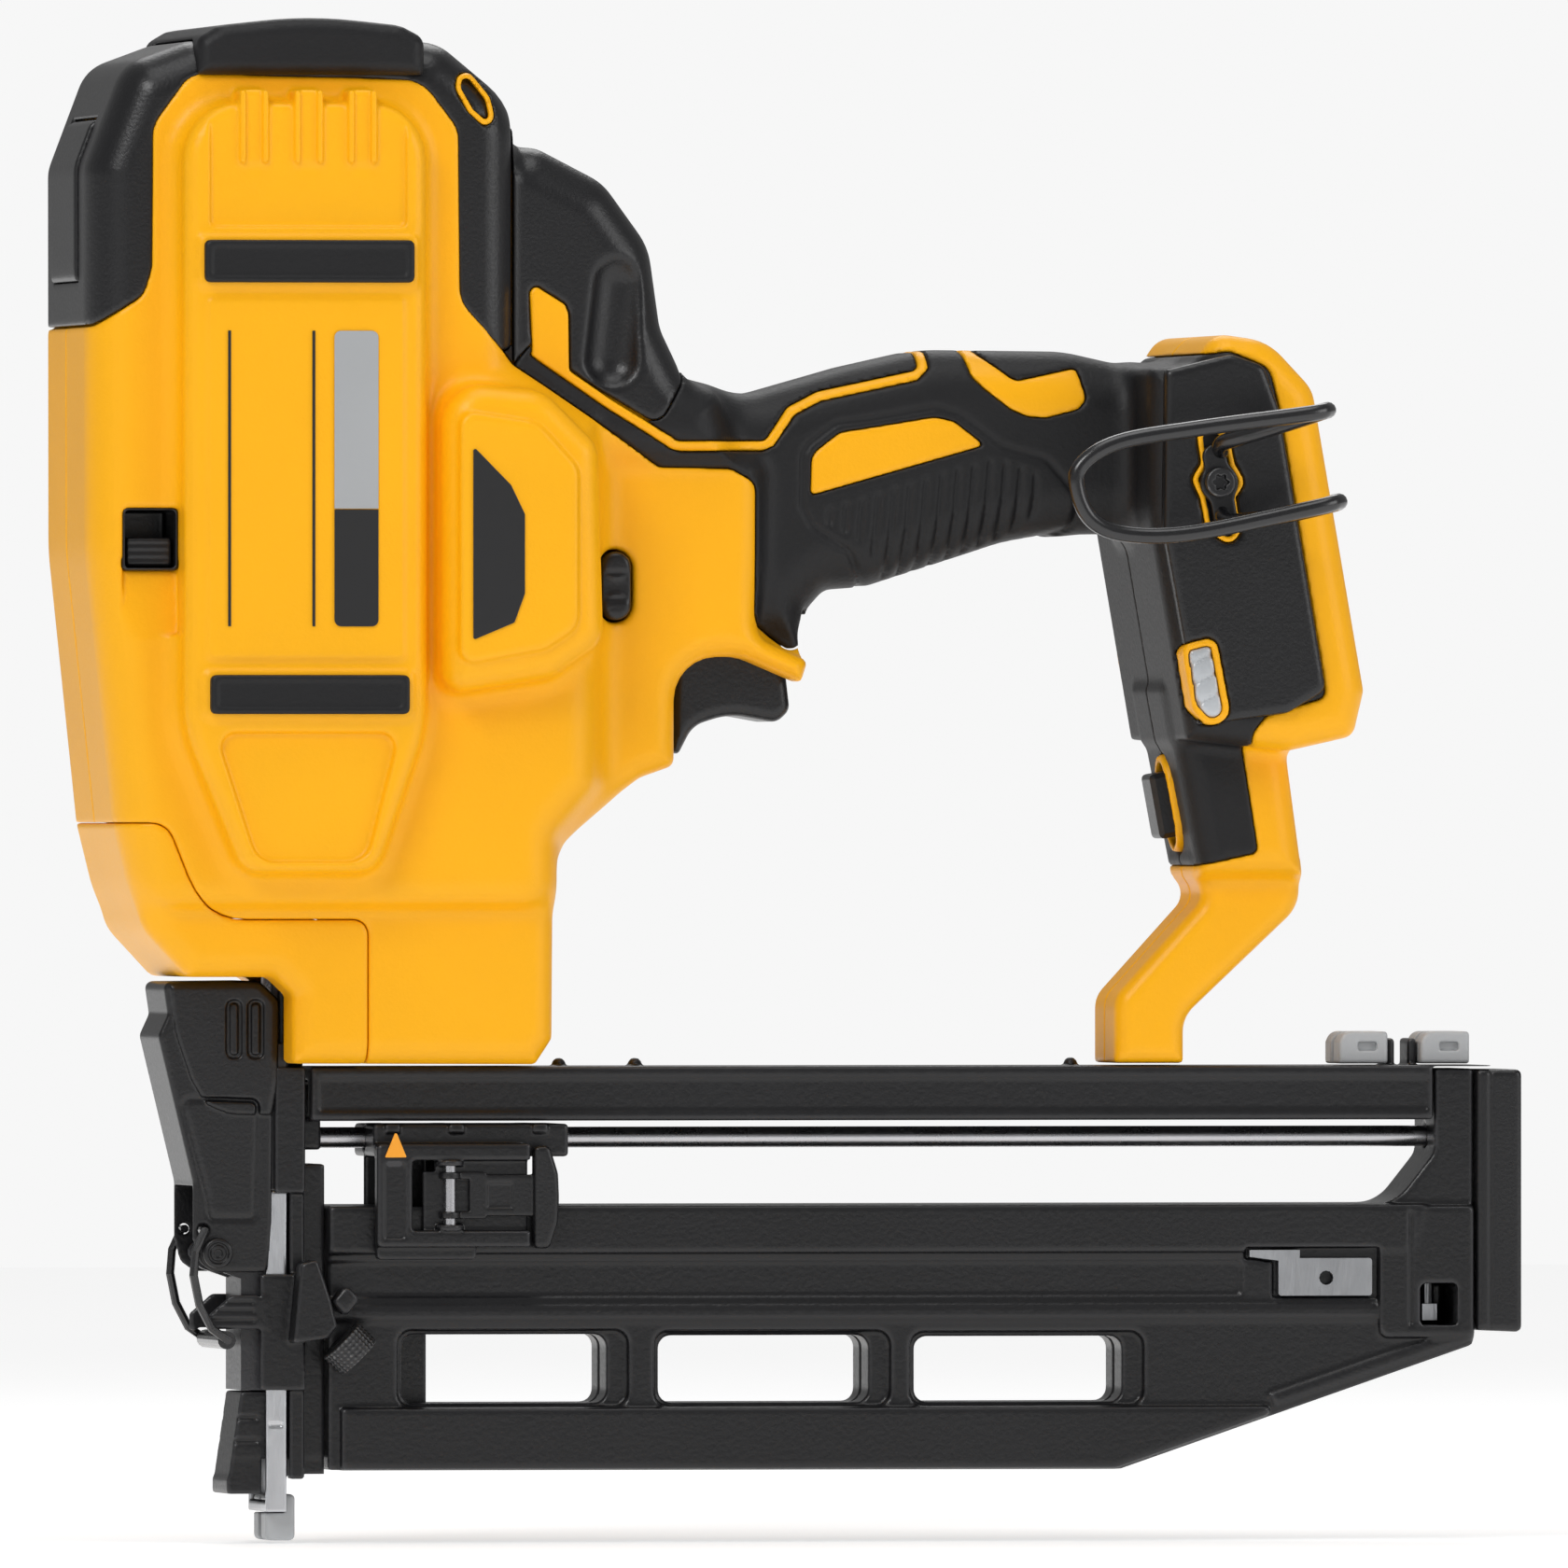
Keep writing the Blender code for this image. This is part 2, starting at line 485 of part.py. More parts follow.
def build_drive():
    low, high = 134.0, 296.0
    frame = block(-17, 22, -24, 24, low, low + 5)
    join(frame, block(-17, 22, -24, 24, high - 6, high), block(-17, 22, -27, -23, low, high),
         block(-17, 22, 23, 27, low, high))
    rods = [rod((DRIVE_X, y, low - 5), (DRIVE_X, y, high + 5), 3.2, 12) for y in (-16, 16)]
    cut(frame, *rods, block(-8, 16, -6, 6, low - 3, low + 8), block(-12, 17, -30, 30, 146, 284))
    finish(frame, "drive_frame", ALUMINIUM)
    for side, y in (("left", -16), ("right", 16)):
        finish(rod((DRIVE_X, y, low + 1), (DRIVE_X, y, high - 1), 3, 12), f"guide_rod_{side}", STEEL)
        finish(coil(DRIVE_X, y, low + 5.6, 267.4, 4.6, 0.7, 12, "spring"), f"return_spring_{side}", STEEL)
    bumper = block(-9, 2, -10.3, 10.3, low + 5.6, 197.4)
    cut(bumper, block(DRIVE_X - 1.4, 5, -5.6, 5.6, low, 200))
    finish(bumper, "stop_bumper", RUBBER)
    carriage = block(-9, 2, -21, 21, 268, DRIVER_TOP)
    join(carriage, block(-2.3, 13.4, -5, 5, 203, DRIVER_TOP))
    cut(carriage, *[rod((DRIVE_X, y, 260), (DRIVE_X, y, 290), 3.3, 12) for y in (-16, 16)],
        block(DRIVE_X - 1.1, DRIVE_X + 1.1, -2, 2, 190, 276), block(-10, DRIVE_X - 0.9, -5.6, 5.6, 260, 290))
    finish(carriage, "driver_carriage", ALUMINIUM)
    blade = block(DRIVE_X - 0.8, DRIVE_X + 0.8, -BLADE_HALF, BLADE_HALF, BLADE_BOTTOM, 275.6)
    finish(blade, "driver_blade", STEEL)
    wheel = rod((MOTOR_X, -7.5, MOTOR_Z), (MOTOR_X, 7.5, MOTOR_Z), FLYWHEEL_RADIUS - 0.2, 40)
    join(wheel, rod((MOTOR_X, -30.6, MOTOR_Z), (MOTOR_X, 16, MOTOR_Z), 3, 16),
         rod((MOTOR_X, -30, MOTOR_Z), (MOTOR_X, -11, MOTOR_Z), 8, 20))
    finish(wheel, "flywheel", STEEL, (MOTOR_X, 0, MOTOR_Z))
    stator = rod((MOTOR_X, -30, MOTOR_Z), (MOTOR_X, -12, MOTOR_Z), 12.5, 24)
    cut(stator, rod((MOTOR_X, -45, MOTOR_Z), (MOTOR_X, -5, MOTOR_Z), 8.5, 24))
    finish(stator, "motor_stator", ALUMINIUM)
    roller_x = DRIVE_X - 0.8 - 9.3
    roller = rod((roller_x, -5, 208), (roller_x, 5, 208), 9, 24)
    cut(roller, rod((roller_x, -8, 208), (roller_x, 8, 208), 3, 16))
    finish(roller, "pinch_roller", STEEL, (roller_x, 0, 208))
    arm_outline = [(roller_x, 203.5, 0), (roller_x + 4, 208, 1), (roller_x, 212.5, 1), (-26, 196, 0),
                   (-30, 190, 2), (-26, 184, 2), (-21, 188, 0)]
    arm = prism(arm_outline, -7.6, -5.4)
    join(arm, prism(arm_outline, 5.4, 7.6), rod((roller_x, -7, 208), (roller_x, 7, 208), 2.7, 16),
         rod((-26, -7, 190), (-26, 7, 190), 3.4, 12))
    finish(arm, "roller_arm", STEEL, (-26, 0, 190))
    solenoid = block(-34, -24, -9, 9, 222, 250)
    finish(solenoid, "solenoid", STEEL)


# --- Nose ----------------------------------------------------------------------------------

def both_sides(maker):
    left = maker()
    return [left, flipped(left)]


def build_nose():
    body = block(-0.5, 2.6, -12, 12, 12.8, 98.2)
    parts = [block(-2.6, 2.6, -9.8, 9.8, 17, 117.4), block(-1, 12, -9.8, 9.8, 99.2, 117.4),
             block(-13.3, -2, -9.8, 9.8, 17, 30.9), block(-13.3, -5.9, -9.8, 9.8, 9.7, 20),
             block(2, 7.3, -9, 9, 13.5, 78), block(2, 7.3, -4, 4, 80.9, 87.6),
             block(-1, 4, -12.2, -9.5, 116.4, 117.4)]
    parts += both_sides(lambda: block(-6.8, 2.6, -13.5, -12, 31.2, 55.2))
    parts += both_sides(lambda: block(-0.5, 2.6, -12.6, -11, 31.2, 55.2))
    parts += both_sides(lambda: prism(EAR, -13.5, -10.2))
    parts += both_sides(lambda: block(-7, -6, -13.5, -12, 43.9, 50.9))
    parts += both_sides(lambda: prism([(-11.2, 91.8, 0), (-2, 91.8, 0), (-2, 98.2, 0), (-11.2, 98.2, 2)],
                                      -9.8, -6.5))
    bracket = [(-1, 41, 0), (2.4, 48.5, 0), (7.6, 47.9, 0), (11, 44.8, 0), (6.4, 40, 0)]
    parts.append(prism(bracket, -20.4, -13.2))
    join(body, *parts)
    cut(body, block(-8, 8, -8.6, 8.6, 10, 17),
        block(-4.6, -2.4, -1.8, 1.8, 5, 40),
        block(-2.9, 9, -1, 1, 18, 80),
        rod((DOOR_PIVOT[0], -12, DOOR_PIVOT[1]), (DOOR_PIVOT[0], 12, DOOR_PIVOT[1]), 1.6, 12))
    finish(body, "nose_body", BLACK)

    door = block(-10.4, -2.9, -9.8, 9.8, 31.2, 90.6)
    barrel = rod((DOOR_PIVOT[0], -6.2, DOOR_PIVOT[1]), (DOOR_PIVOT[0], 6.2, DOOR_PIVOT[1]), 3, 16)
    join(door, block(-10.4, -5.8, -6.2, 6.2, 88, 95), barrel,
         *both_sides(lambda: prism(DOOR_LUG, -9.8, -7)))
    cut(door, block(DRIVE_X - 1.1, 0, -1.8, 1.8, 20, 100),
        rod((DOOR_PIVOT[0], -12, DOOR_PIVOT[1]), (DOOR_PIVOT[0], 12, DOOR_PIVOT[1]), 1.6, 12),
        rod((LATCH_PIVOT[0], -12, LATCH_PIVOT[1]), (LATCH_PIVOT[0], 12, LATCH_PIVOT[1]), 1.6, 12))
    finish(door, "nose_door", BLACK, (DOOR_PIVOT[0], 0, DOOR_PIVOT[1]))
    finish(rod((DOOR_PIVOT[0], -9.7, DOOR_PIVOT[1]), (DOOR_PIVOT[0], 9.7, DOOR_PIVOT[1]), 1.5, 12),
           "door_pin", STEEL)

    pin = rod((LATCH_PIVOT[0], -15, LATCH_PIVOT[1]), (LATCH_PIVOT[0], 15, LATCH_PIVOT[1]), 1.5, 12)
    join(pin, *both_sides(lambda: rod((LATCH_PIVOT[0], -15.2, LATCH_PIVOT[1]),
                                      (LATCH_PIVOT[0], -14.3, LATCH_PIVOT[1]), 2.8, 16)))
    finish(pin, "latch_pin", STEEL)
    lever = prism(LEVER, -14, 14, 1, 1)
    cut(lever, prism(LEVER_ROOM, -12, 12),
        rod((LATCH_PIVOT[0], -16, LATCH_PIVOT[1]), (LATCH_PIVOT[0], 16, LATCH_PIVOT[1]), 1.65, 12),
        rod((BAIL_PIVOT[0], -16, BAIL_PIVOT[1]), (BAIL_PIVOT[0], 16, BAIL_PIVOT[1]), 1.2, 10))
    finish(lever, "latch_lever", BLACK, (LATCH_PIVOT[0], 0, LATCH_PIVOT[1]))
    side_run = [(-18.8, 64.4), (-20.8, 60), (-21.2, 55), (-20, 49), (-17.4, 44), CROSSBAR]
    path = [(BAIL_PIVOT[0], -11.2, BAIL_PIVOT[1])] + [(x, -15.3, z) for x, z in side_run]
    path += [(x, 15.3, z) for x, z in reversed(side_run)] + [(BAIL_PIVOT[0], 11.2, BAIL_PIVOT[1])]
    bail = tube_along(path, 0.9, 8)
    join(bail, rod((CROSSBAR[0], -13.9, CROSSBAR[1]), (CROSSBAR[0], 13.9, CROSSBAR[1]), 1.9, 16))
    finish(bail, "latch_bail", STEEL, (BAIL_PIVOT[0], 0, BAIL_PIVOT[1]))


def build_trip():
    trip = block(-5.4, -1.1, -11.7, 11.7, 6, 8)
    join(trip, *both_sides(lambda: block(-5.4, -1.1, -11.7, -10.2, 6, 103)),
         block(-1.5, 2.6, -11.7, -10.2, 101.5, 103))
    cut(trip, block(DRIVE_X - 1.1, DRIVE_X + 1.1, -1.8, 1.8, 5, 9))
    finish(trip, "contact_trip", ZINC)
    finish(coil(1.2, -11.15, 103.3, 116.1, 0.85, 0.25, 6, "spring"), "trip_spring", STEEL)
    tip = prism([(-4.9, 0, 0.6), (1.3, 0, 0.6), (1.3, 9.6, 0.4), (-4.9, 9.6, 0.4)], -8, 8)
    cut(tip, block(-7, -0.8, -10, 10, 5.7, 8.3), block(-7, DRIVE_X + 1.4, -1.8, 1.8, -1, 12))
    finish(tip, "no_mar_tip", GREY_TIP)
    slope = math.sqrt(0.5)
    start = Vector((9.0, -17.0, 42.1))
    axis = Vector((slope, 0, -slope))
    wheel = rod(start + axis * GAP, start + axis * 5.8, 4.2, 20)
    finish(wheel, "depth_wheel", BLACK, tuple(start))


# --- Magazine ------------------------------------------------------------------------------

def build_magazine():
    body = prism(MAGAZINE, -MAG_HALF, MAG_HALF)
    join(body, block(MAG_FRONT, 236, -RAIL_HALF, RAIL_HALF, 61, SLOT_FLOOR - 0.2),
         prism([(MAG_FRONT, 14.9, 0), (173, 14.9, 0), (209, 27.3, 0), (MAG_FRONT, 27.3, 0)],
               -RAIL_HALF, RAIL_HALF))
    windows = [prism([(x0, 28.2, 2.6), (x1, 28.2, 2.6), (x1, z1, 2.6), (x0, z1, 2.6)], -20, 20)
               for x0, x1, z1 in ((23.4, 66.4, 42.6), (77.4, 121.6, 42.3), (131.3, 175.1, 42))]
    cut(body, *windows, block(0, 230, -1, 1, 18, 80),
        block(200.6, 229, -14, -10.5, 49.6, 60.6),
        block(238.1, 245.2, -20, -4, 44.1, 52.8),
        rod((241.6, 0, 30), (241.6, 0, 60), 1.7, 12), block(238, 245.4, -4.5, 4.5, 44.1, 52.8),
        rod((234, 0, ROD_Z), (246, 0, ROD_Z), ROD_RADIUS + GAP, 16))
    finish(body, "magazine_body", BLACK)

    rail = block(3.6, 252.9, -RAIL_HALF, RAIL_HALF, RAIL_BOTTOM, MAG_TOP)
    cut(rail, block(0, 260, -9, 9, RAIL_BOTTOM - 1, 95.4), block(SLOT_BACK - 0.4, 260, -20, 20, 80, 97.9))
    bosses = [rod((x, 0, MAG_TOP - 0.5), (x, 0, MAG_TOP + 1), 1.6, 12) for x in (58, 74, 166)]
    posts = [block(x0, x1, -5, 5, 95, 104) for x0, x1 in ((232.2, 233.8), (236.6, 238.4))]
    join(rail, *bosses, *posts, block(10, 38, -8, 8, MAG_TOP - 0.5, 98.5))
    finish(rail, "magazine_rail", BLACK)
    finish(rod((7.6, 0, ROD_Z), (243, 0, ROD_Z), ROD_RADIUS, 16), "rail_rod", STEEL)

    cap = prism([(249.6, 43, 0), (259.4, 42.6, 1), (259.4, 97.4, 1), (249.6, 97.4, 0)], -RAIL_HALF,
                RAIL_HALF, 1, 1)
    finish(cap, "end_cap", BLACK)
    bolt = rod((241.6, 0, 45), (241.6, 0, 48.4), 3.1, 6)
    join(bolt, rod((241.6, 0, 48), (241.6, 0, 58), 1.4, 12))
    finish(bolt, "end_bolt", ZINC)

    stop = prism([(207.7, 50.3, 0.6), (227.5, 50.3, 0.6), (227.5, 58.1, 0.6), (212.2, 58.1, 0),
                  (212.2, 59.8, 0), (201.6, 59.8, 0), (201.6, 58.4, 0), (207.7, 57.6, 0)], -12.6, -11.4)
    cut(stop, rod((217.8, -15, 54), (217.8, -9, 54), 1.5, 12))
    finish(stop, "nail_stop", ZINC, (227.5, -12, 54))

    for name, x0, x1 in (("spare_tip_front", 221.4, 231.9), ("spare_tip_rear", 238.7, 249)):
        tip = prism([(x0, MAG_TOP + GAP, 0.6), (x1, MAG_TOP + GAP, 0.6), (x1, 105.2, 0.6),
                     (x0, 105.2, 2)], -8, 8)
        cut(tip, block(x0 - 1, x1 - 4.6, -1.8, 1.8, 90, 110), block(x0 + 3, x1 - 2, -10, 10, 101, 103.4))
        finish(tip, name, GREY_TIP)


def build_pusher():
    out, back = -17.5, -13.5
    frame = prism(PUSHER_FRAME, out, back, 0.6)
    hub = block(17, 58, -12.5, 12.5, 79.5, 86.3)
    join(frame, hub, block(17, 48, -14.5, -12, 79.5, 82.2), block(17, 30, -0.7, 0.7, 20, 80.5),
         rod((32.5, -15.6, 63), (32.5, -15.6, 80), 1.2, 12),
         block(30, 50, 10.4, 12.4, 70.2, 81), rod((38, 1.4, 75), (38, 11, 75), 1.5, 12),
         prism([(18.3, 79.6, 0), (23.2, 79.6, 0), (20.7, 85, 0)], out - 0.4, -12))
    cut(frame, rod((10, 0, ROD_Z), (60, 0, ROD_Z), ROD_RADIUS + 0.4, 16))
    finish(frame, "pusher", BLACK)
    latch = prism(THUMB_PAD, out - 0.6, back - 0.1, 0.8)
    join(latch, block(33, 51, -16.4, -14.8, 67, 76), rod((32.5, -15.6, 67), (32.5, -15.6, 76), 1.9, 16))
    cut(latch, rod((32.5, -15.6, 60), (32.5, -15.6, 84), 1.45, 12))
    finish(latch, "pusher_latch", BLACK, (32.5, -15.6, 71))
    drum = rod((38, 1.7, 75), (38, 10.1, 75), 4.2, 20)
    cut(drum, rod((38, 0, 75), (38, 12, 75), 1.8, 16))
    finish(drum, "feed_spring", STEEL)


clear_scene()
build_housing()
build_cap()
build_side_rubber()
build_controls()
build_hook()
build_drive()
build_nose()
build_trip()
build_magazine()
build_pusher()
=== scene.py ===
"""Looks of the cordless finish nailer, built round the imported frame. Lengths are millimetres until MM."""

import math

import bmesh
import bpy
import numpy as np
from mathutils import Matrix, Vector


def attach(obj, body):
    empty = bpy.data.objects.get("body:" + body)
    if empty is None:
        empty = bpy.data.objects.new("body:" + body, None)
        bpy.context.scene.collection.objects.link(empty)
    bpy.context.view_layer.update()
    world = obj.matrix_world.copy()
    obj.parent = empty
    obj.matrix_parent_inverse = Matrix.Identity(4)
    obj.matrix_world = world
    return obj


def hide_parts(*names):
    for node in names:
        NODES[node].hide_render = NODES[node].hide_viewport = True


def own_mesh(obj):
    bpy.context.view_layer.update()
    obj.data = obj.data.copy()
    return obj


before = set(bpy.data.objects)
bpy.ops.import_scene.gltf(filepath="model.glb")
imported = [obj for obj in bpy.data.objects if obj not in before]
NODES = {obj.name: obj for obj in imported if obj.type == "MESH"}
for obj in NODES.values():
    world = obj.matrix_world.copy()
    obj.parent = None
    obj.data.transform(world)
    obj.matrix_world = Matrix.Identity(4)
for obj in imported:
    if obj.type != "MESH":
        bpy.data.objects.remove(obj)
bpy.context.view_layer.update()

MM = 0.001
ARC_STEPS = 6
ROD_Z = 83.4  # height of the rail rod
SPOOL_X, SPOOL_Y = 32.5, -15.6  # axis of the pusher's spool
SCREW_X, SCREW_Z = 190, 219.2  # axis of the belt hook's screw
DRIVE_X = -3.5  # of the return springs
TURN_STEPS = 16  # points to one turn of a spring


# --- Outlines ---

def rounded(corners):
    """The points of an outline whose corners are (x, z) or (x, z, radius)."""
    points = []
    for i, corner in enumerate(corners):
        here = Vector(corner[:2])
        into = (here - Vector(corners[i - 1][:2])).normalized()
        out = (Vector(corners[(i + 1) % len(corners)][:2]) - here).normalized()
        angle = into.angle(out)
        radius = corner[2] if len(corner) > 2 else 0
        if not radius or angle < 0.02:
            points.append(here)
            continue
        side = 1 if into.x * out.y > into.y * out.x else -1
        start = here - into * radius * math.tan(angle / 2)
        centre = start + Vector((-into.y, into.x)) * side * radius
        for k in range(ARC_STEPS + 1):
            points.append(centre + Matrix.Rotation(side * angle * k / ARC_STEPS, 2) @ (start - centre))
    return points


def rect(x0, x1, z0, z1, *radii):
    """A rectangle's corners, with one radius for all of them or one for each."""
    radii = radii * 4 if len(radii) == 1 else radii or (0,) * 4
    return [(x, z, radius) for x, z, radius in zip((x0, x1, x1, x0), (z0, z0, z1, z1), radii)]


def thick_line(points, width):
    """An open line of (x, z) points made into a closed band."""
    points = [Vector(p) for p in points]
    left, right = [], []
    for i, point in enumerate(points):
        ahead = (points[min(i + 1, len(points) - 1)] - points[max(i - 1, 0)]).normalized()
        side = Vector((-ahead.y, ahead.x)) * width / 2
        left.append(tuple(point + side))
        right.append(tuple(point - side))
    return left + right[::-1]


# --- Solids as distance fields ---

class Field:
    """A box of sample points, and the distance fields drawn in it."""

    def __init__(self, low, high, step):
        self.step = step
        self.low = np.array(low, np.float32) - 2.5 * step
        count = np.ceil((np.array(high) + 2.5 * step - self.low) / step).astype(int) + 1
        axes = [self.low[i] + step * np.arange(count[i], dtype=np.float32) for i in range(3)]
        self.x = axes[0][:, None, None]
        self.y = axes[1][None, :, None]
        self.z = axes[2][None, None, :]
        self.half = np.abs(self.y)

    def outline(self, corners):
        """Distance to an outline in the XZ plane, negative inside."""
        points = np.array([tuple(p) for p in rounded(corners)], np.float32)
        x, z = self.x[:, 0, :], self.z[0, :, :]
        nearest = np.full((x.shape[0], z.shape[1]), 1e9, np.float32)
        inside = np.zeros(nearest.shape, bool)
        for (ax, az), (bx, bz) in zip(points, np.roll(points, -1, 0)):
            dx, dz = bx - ax, bz - az
            along = np.clip(((x - ax) * dx + (z - az) * dz) / max(dx * dx + dz * dz, 1e-9), 0, 1)
            nearest = np.minimum(nearest, (x - ax - along * dx) ** 2 + (z - az - along * dz) ** 2)
            if az != bz:
                inside ^= ((z > az) != (z > bz)) & (x < ax + (z - az) * dx / dz)
        distance = np.sqrt(nearest)
        return np.where(inside, -distance, distance)[:, None, :]

    def slab(self, corners, low, high, edge=0.0):
        """An outline carried from y = low to y = high, with its side edges rounded."""
        flat = self.outline(corners) + edge
        across = np.abs(self.y - (low + high) / 2) - (high - low) / 2 + edge
        return (np.minimum(np.maximum(flat, across), 0)
                + np.hypot(np.maximum(flat, 0), np.maximum(across, 0)) - edge)

    def even(self, corners, half, edge=0.0):
        """An outline carried as far to the left as to the right."""
        return self.slab(corners, -half, half, edge)

    def box(self, x0, x1, y0, y1, z0, z1, edge=0.0, y=None):
        """A box with rounded edges. y is read instead of the field's own where it is given."""
        y = self.y if y is None else y
        parts = [np.abs(v - (a + b) / 2) - (b - a) / 2 + edge
                 for v, a, b in ((self.x, x0, x1), (y, y0, y1), (self.z, z0, z1))]
        out = np.sqrt(sum(np.maximum(p, 0) ** 2 for p in parts))
        return out + np.minimum(np.maximum(np.maximum(parts[0], parts[1]), parts[2]), 0) - edge

    def bar(self, start, end, radius):
        """A round-ended bar."""
        start, end = np.array(start, np.float32), np.array(end, np.float32)
        ahead = end - start
        px, py, pz = self.x - start[0], self.y - start[1], self.z - start[2]
        along = np.clip((px * ahead[0] + py * ahead[1] + pz * ahead[2]) / (ahead @ ahead), 0, 1)
        return np.sqrt((px - along * ahead[0]) ** 2 + (py - along * ahead[1]) ** 2
                       + (pz - along * ahead[2]) ** 2) - radius


def merge(a, b, soft=0.0):
    """Either solid, with the joint between them softened."""
    if not soft:
        return np.minimum(a, b)
    near = np.maximum(soft - np.abs(a - b), 0) / soft
    return np.minimum(a, b) - near * near * soft * 0.25


def keep(a, b, soft=0.0):
    """What both solids share."""
    return -merge(-a, -b, soft)


def carve(a, b, soft=0.0):
    """The first solid without the second."""
    return keep(a, -b, soft)


def placed(name, data):
    """A new object in the scene."""
    made = bpy.data.objects.new(name, data)
    bpy.context.scene.collection.objects.link(made)
    return made


def surface(field, values, name):
    """The closed surface where the distance is nought, one point per crossed cell."""
    values = np.ascontiguousarray(values, np.float32)
    inside = values < 0
    shape = np.array(values.shape)
    corners = [(i, j, k) for i in (0, 1) for j in (0, 1) for k in (0, 1)]

    def part(array, corner):
        return array[tuple(slice(c, n - 1 + c) for c, n in zip(corner, shape))]

    every, some = part(inside, corners[0]).copy(), part(inside, corners[0]).copy()
    for corner in corners[1:]:
        every &= part(inside, corner)
        some |= part(inside, corner)
    cells = np.argwhere(some & ~every)
    sample = {c: values[tuple((cells + c).T)] for c in corners}
    total = np.zeros((len(cells), 3), np.float32)
    number = np.zeros(len(cells), np.float32)
    for a in corners:
        for axis in range(3):
            if a[axis]:
                continue
            b = tuple(c + (n == axis) for n, c in enumerate(a))
            crossed = (sample[a] < 0) != (sample[b] < 0)
            change = np.where(crossed, sample[a] - sample[b], 1)
            place = np.repeat(np.array(a, np.float32)[None], len(cells), 0)
            place[:, axis] = np.where(crossed, sample[a] / change, 0)
            total += place * crossed[:, None]
            number += crossed
    points = field.low + (cells + total / number[:, None]) * field.step
    index = np.full(shape - 1, -1, np.int32)
    index[tuple(cells.T)] = np.arange(len(cells))
    quads = []
    for axis in range(3):
        ahead = [slice(None)] * 3
        behind = [slice(None)] * 3
        ahead[axis], behind[axis] = slice(1, None), slice(None, -1)
        here, there = inside[tuple(behind)], inside[tuple(ahead)]
        for enter in (False, True):
            edges = np.argwhere(here & ~there if enter else ~here & there)
            u, v = (axis + 1) % 3, (axis + 2) % 3
            ring = []
            for du, dv in ((0, 0), (-1, 0), (-1, -1), (0, -1)):
                cell = edges.copy()
                cell[:, u] += du
                cell[:, v] += dv
                ring.append(index[tuple(cell.T)])
            ring = np.stack(ring, 1)
            quads.append(ring if enter else ring[:, ::-1])
    quads = np.concatenate(quads)
    mesh = bpy.data.meshes.new(name)
    mesh.vertices.add(len(points))
    mesh.vertices.foreach_set("co", (points * MM).astype(np.float32).ravel())
    mesh.loops.add(quads.size)
    mesh.loops.foreach_set("vertex_index", quads.ravel().astype(np.int32))
    mesh.polygons.add(len(quads))
    mesh.polygons.foreach_set("loop_start", np.arange(0, quads.size, 4, dtype=np.int32))
    mesh.polygons.foreach_set("use_smooth", np.ones(len(quads), bool))
    mesh.update()
    mesh.validate()
    return placed(name, mesh)


def mirrored(source, name):
    """A copy of a left-hand piece for the right-hand side."""
    mesh = source.data.copy()
    mesh.transform(Matrix.Scale(-1, 4, (0, 1, 0)))
    mesh.flip_normals()
    return placed(name, mesh)


# --- Outside shape of the housing ---

TORSO = [
    (-44.7, 205, 60), (-38.8, 148.6, 14), (-33.5, 127, 10), (-24, 116.8, 3), (-6, 116.8, 3), (-2, 113),
    (-2, 98.9, 1), (49, 98.7, 0.5), (52.5, 104, 2), (52.8, 146, 6), (61.5, 156, 6), (61.5, 232, 4),
    (43.6, 244, 3), (43.6, 296.5, 14), (28, 309.4, 9), (-24, 309.4, 6), (-37, 304.6, 8), (-44.8, 284, 8),
]
UPPER = [(-60, 137), (-30, 131, 8), (60, 131, 8), (80, 160), (80, 320), (-60, 320)]
PANEL = [
    (-27.2, 297.4, 12), (-27.2, 168, 30), (-14.8, 138.2, 6), (13.4, 138.2, 6), (23.6, 168, 30),
    (23.6, 297.4, 12),
]
PANEL_TOP = rect(-21.8, 18.9, 271.8, 296, 1, 1, 3, 3)
PANEL_FOOT = [(-20.6, 167.2, 3), (-11.9, 140.6, 5), (10.7, 140.6, 5), (17.5, 167.2, 3)]
BUMP = [(27, 240, 8), (48, 238, 10), (59.4, 226.6, 6), (60.6, 186, 6), (50, 178.6, 8), (27, 175, 4)]
BUMP_FACE = [
    (29.6, 234, 3), (46, 231.5, 8), (54.6, 222, 5), (54.6, 189, 5), (47.5, 184.4, 5), (29.6, 181, 3),
]
THROAT = [
    (45, 136, 0), (58, 147.5, 6), (72, 158, 8), (79.2, 160.5, 2), (79.2, 182.9, 9), (93, 183.1, 12),
    (105.9, 177.6, 0.8), (107.4, 182.3, 1.5), (96.5, 187, 5), (97, 223, 4), (90, 226, 4), (75.5, 228, 3),
    (45, 238),
]
SHROUD = [
    (38, 286), (44.5, 288.6, 2), (50, 288.4, 8), (64, 281.2, 12), (73.6, 268, 14), (76, 251, 12),
    (81, 240.6, 8), (88.4, 237.6, 4), (92, 222), (38, 222),
]
HANDLE = [
    (74, 240), (84, 238.9, 6), (97, 237.6, 14), (117, 243.3, 30), (133, 246.9, 30), (163, 246.6, 30),
    (180, 242.8, 14), (192, 243.4), (192, 209), (167, 208.6, 30), (150, 206.8, 30), (121, 197.6, 12),
    (112.6, 197, 4), (109, 193, 4), (107, 183.6, 1.5), (97.6, 187.2, 4), (86, 200),
]
FOOT = [
    (176.4, 214, 8), (184.6, 166), (206.5, 163.6, 2), (220, 166.6, 3), (222.2, 176, 3), (211.4, 238.6, 8),
    (202, 248.6, 12), (190.5, 250.2, 5), (186, 243.6, 6), (176.4, 243, 2),
]
STEM = [(182.6, 176), (190.2, 137.4, 1), (212.2, 137.4, 1), (207, 176)]
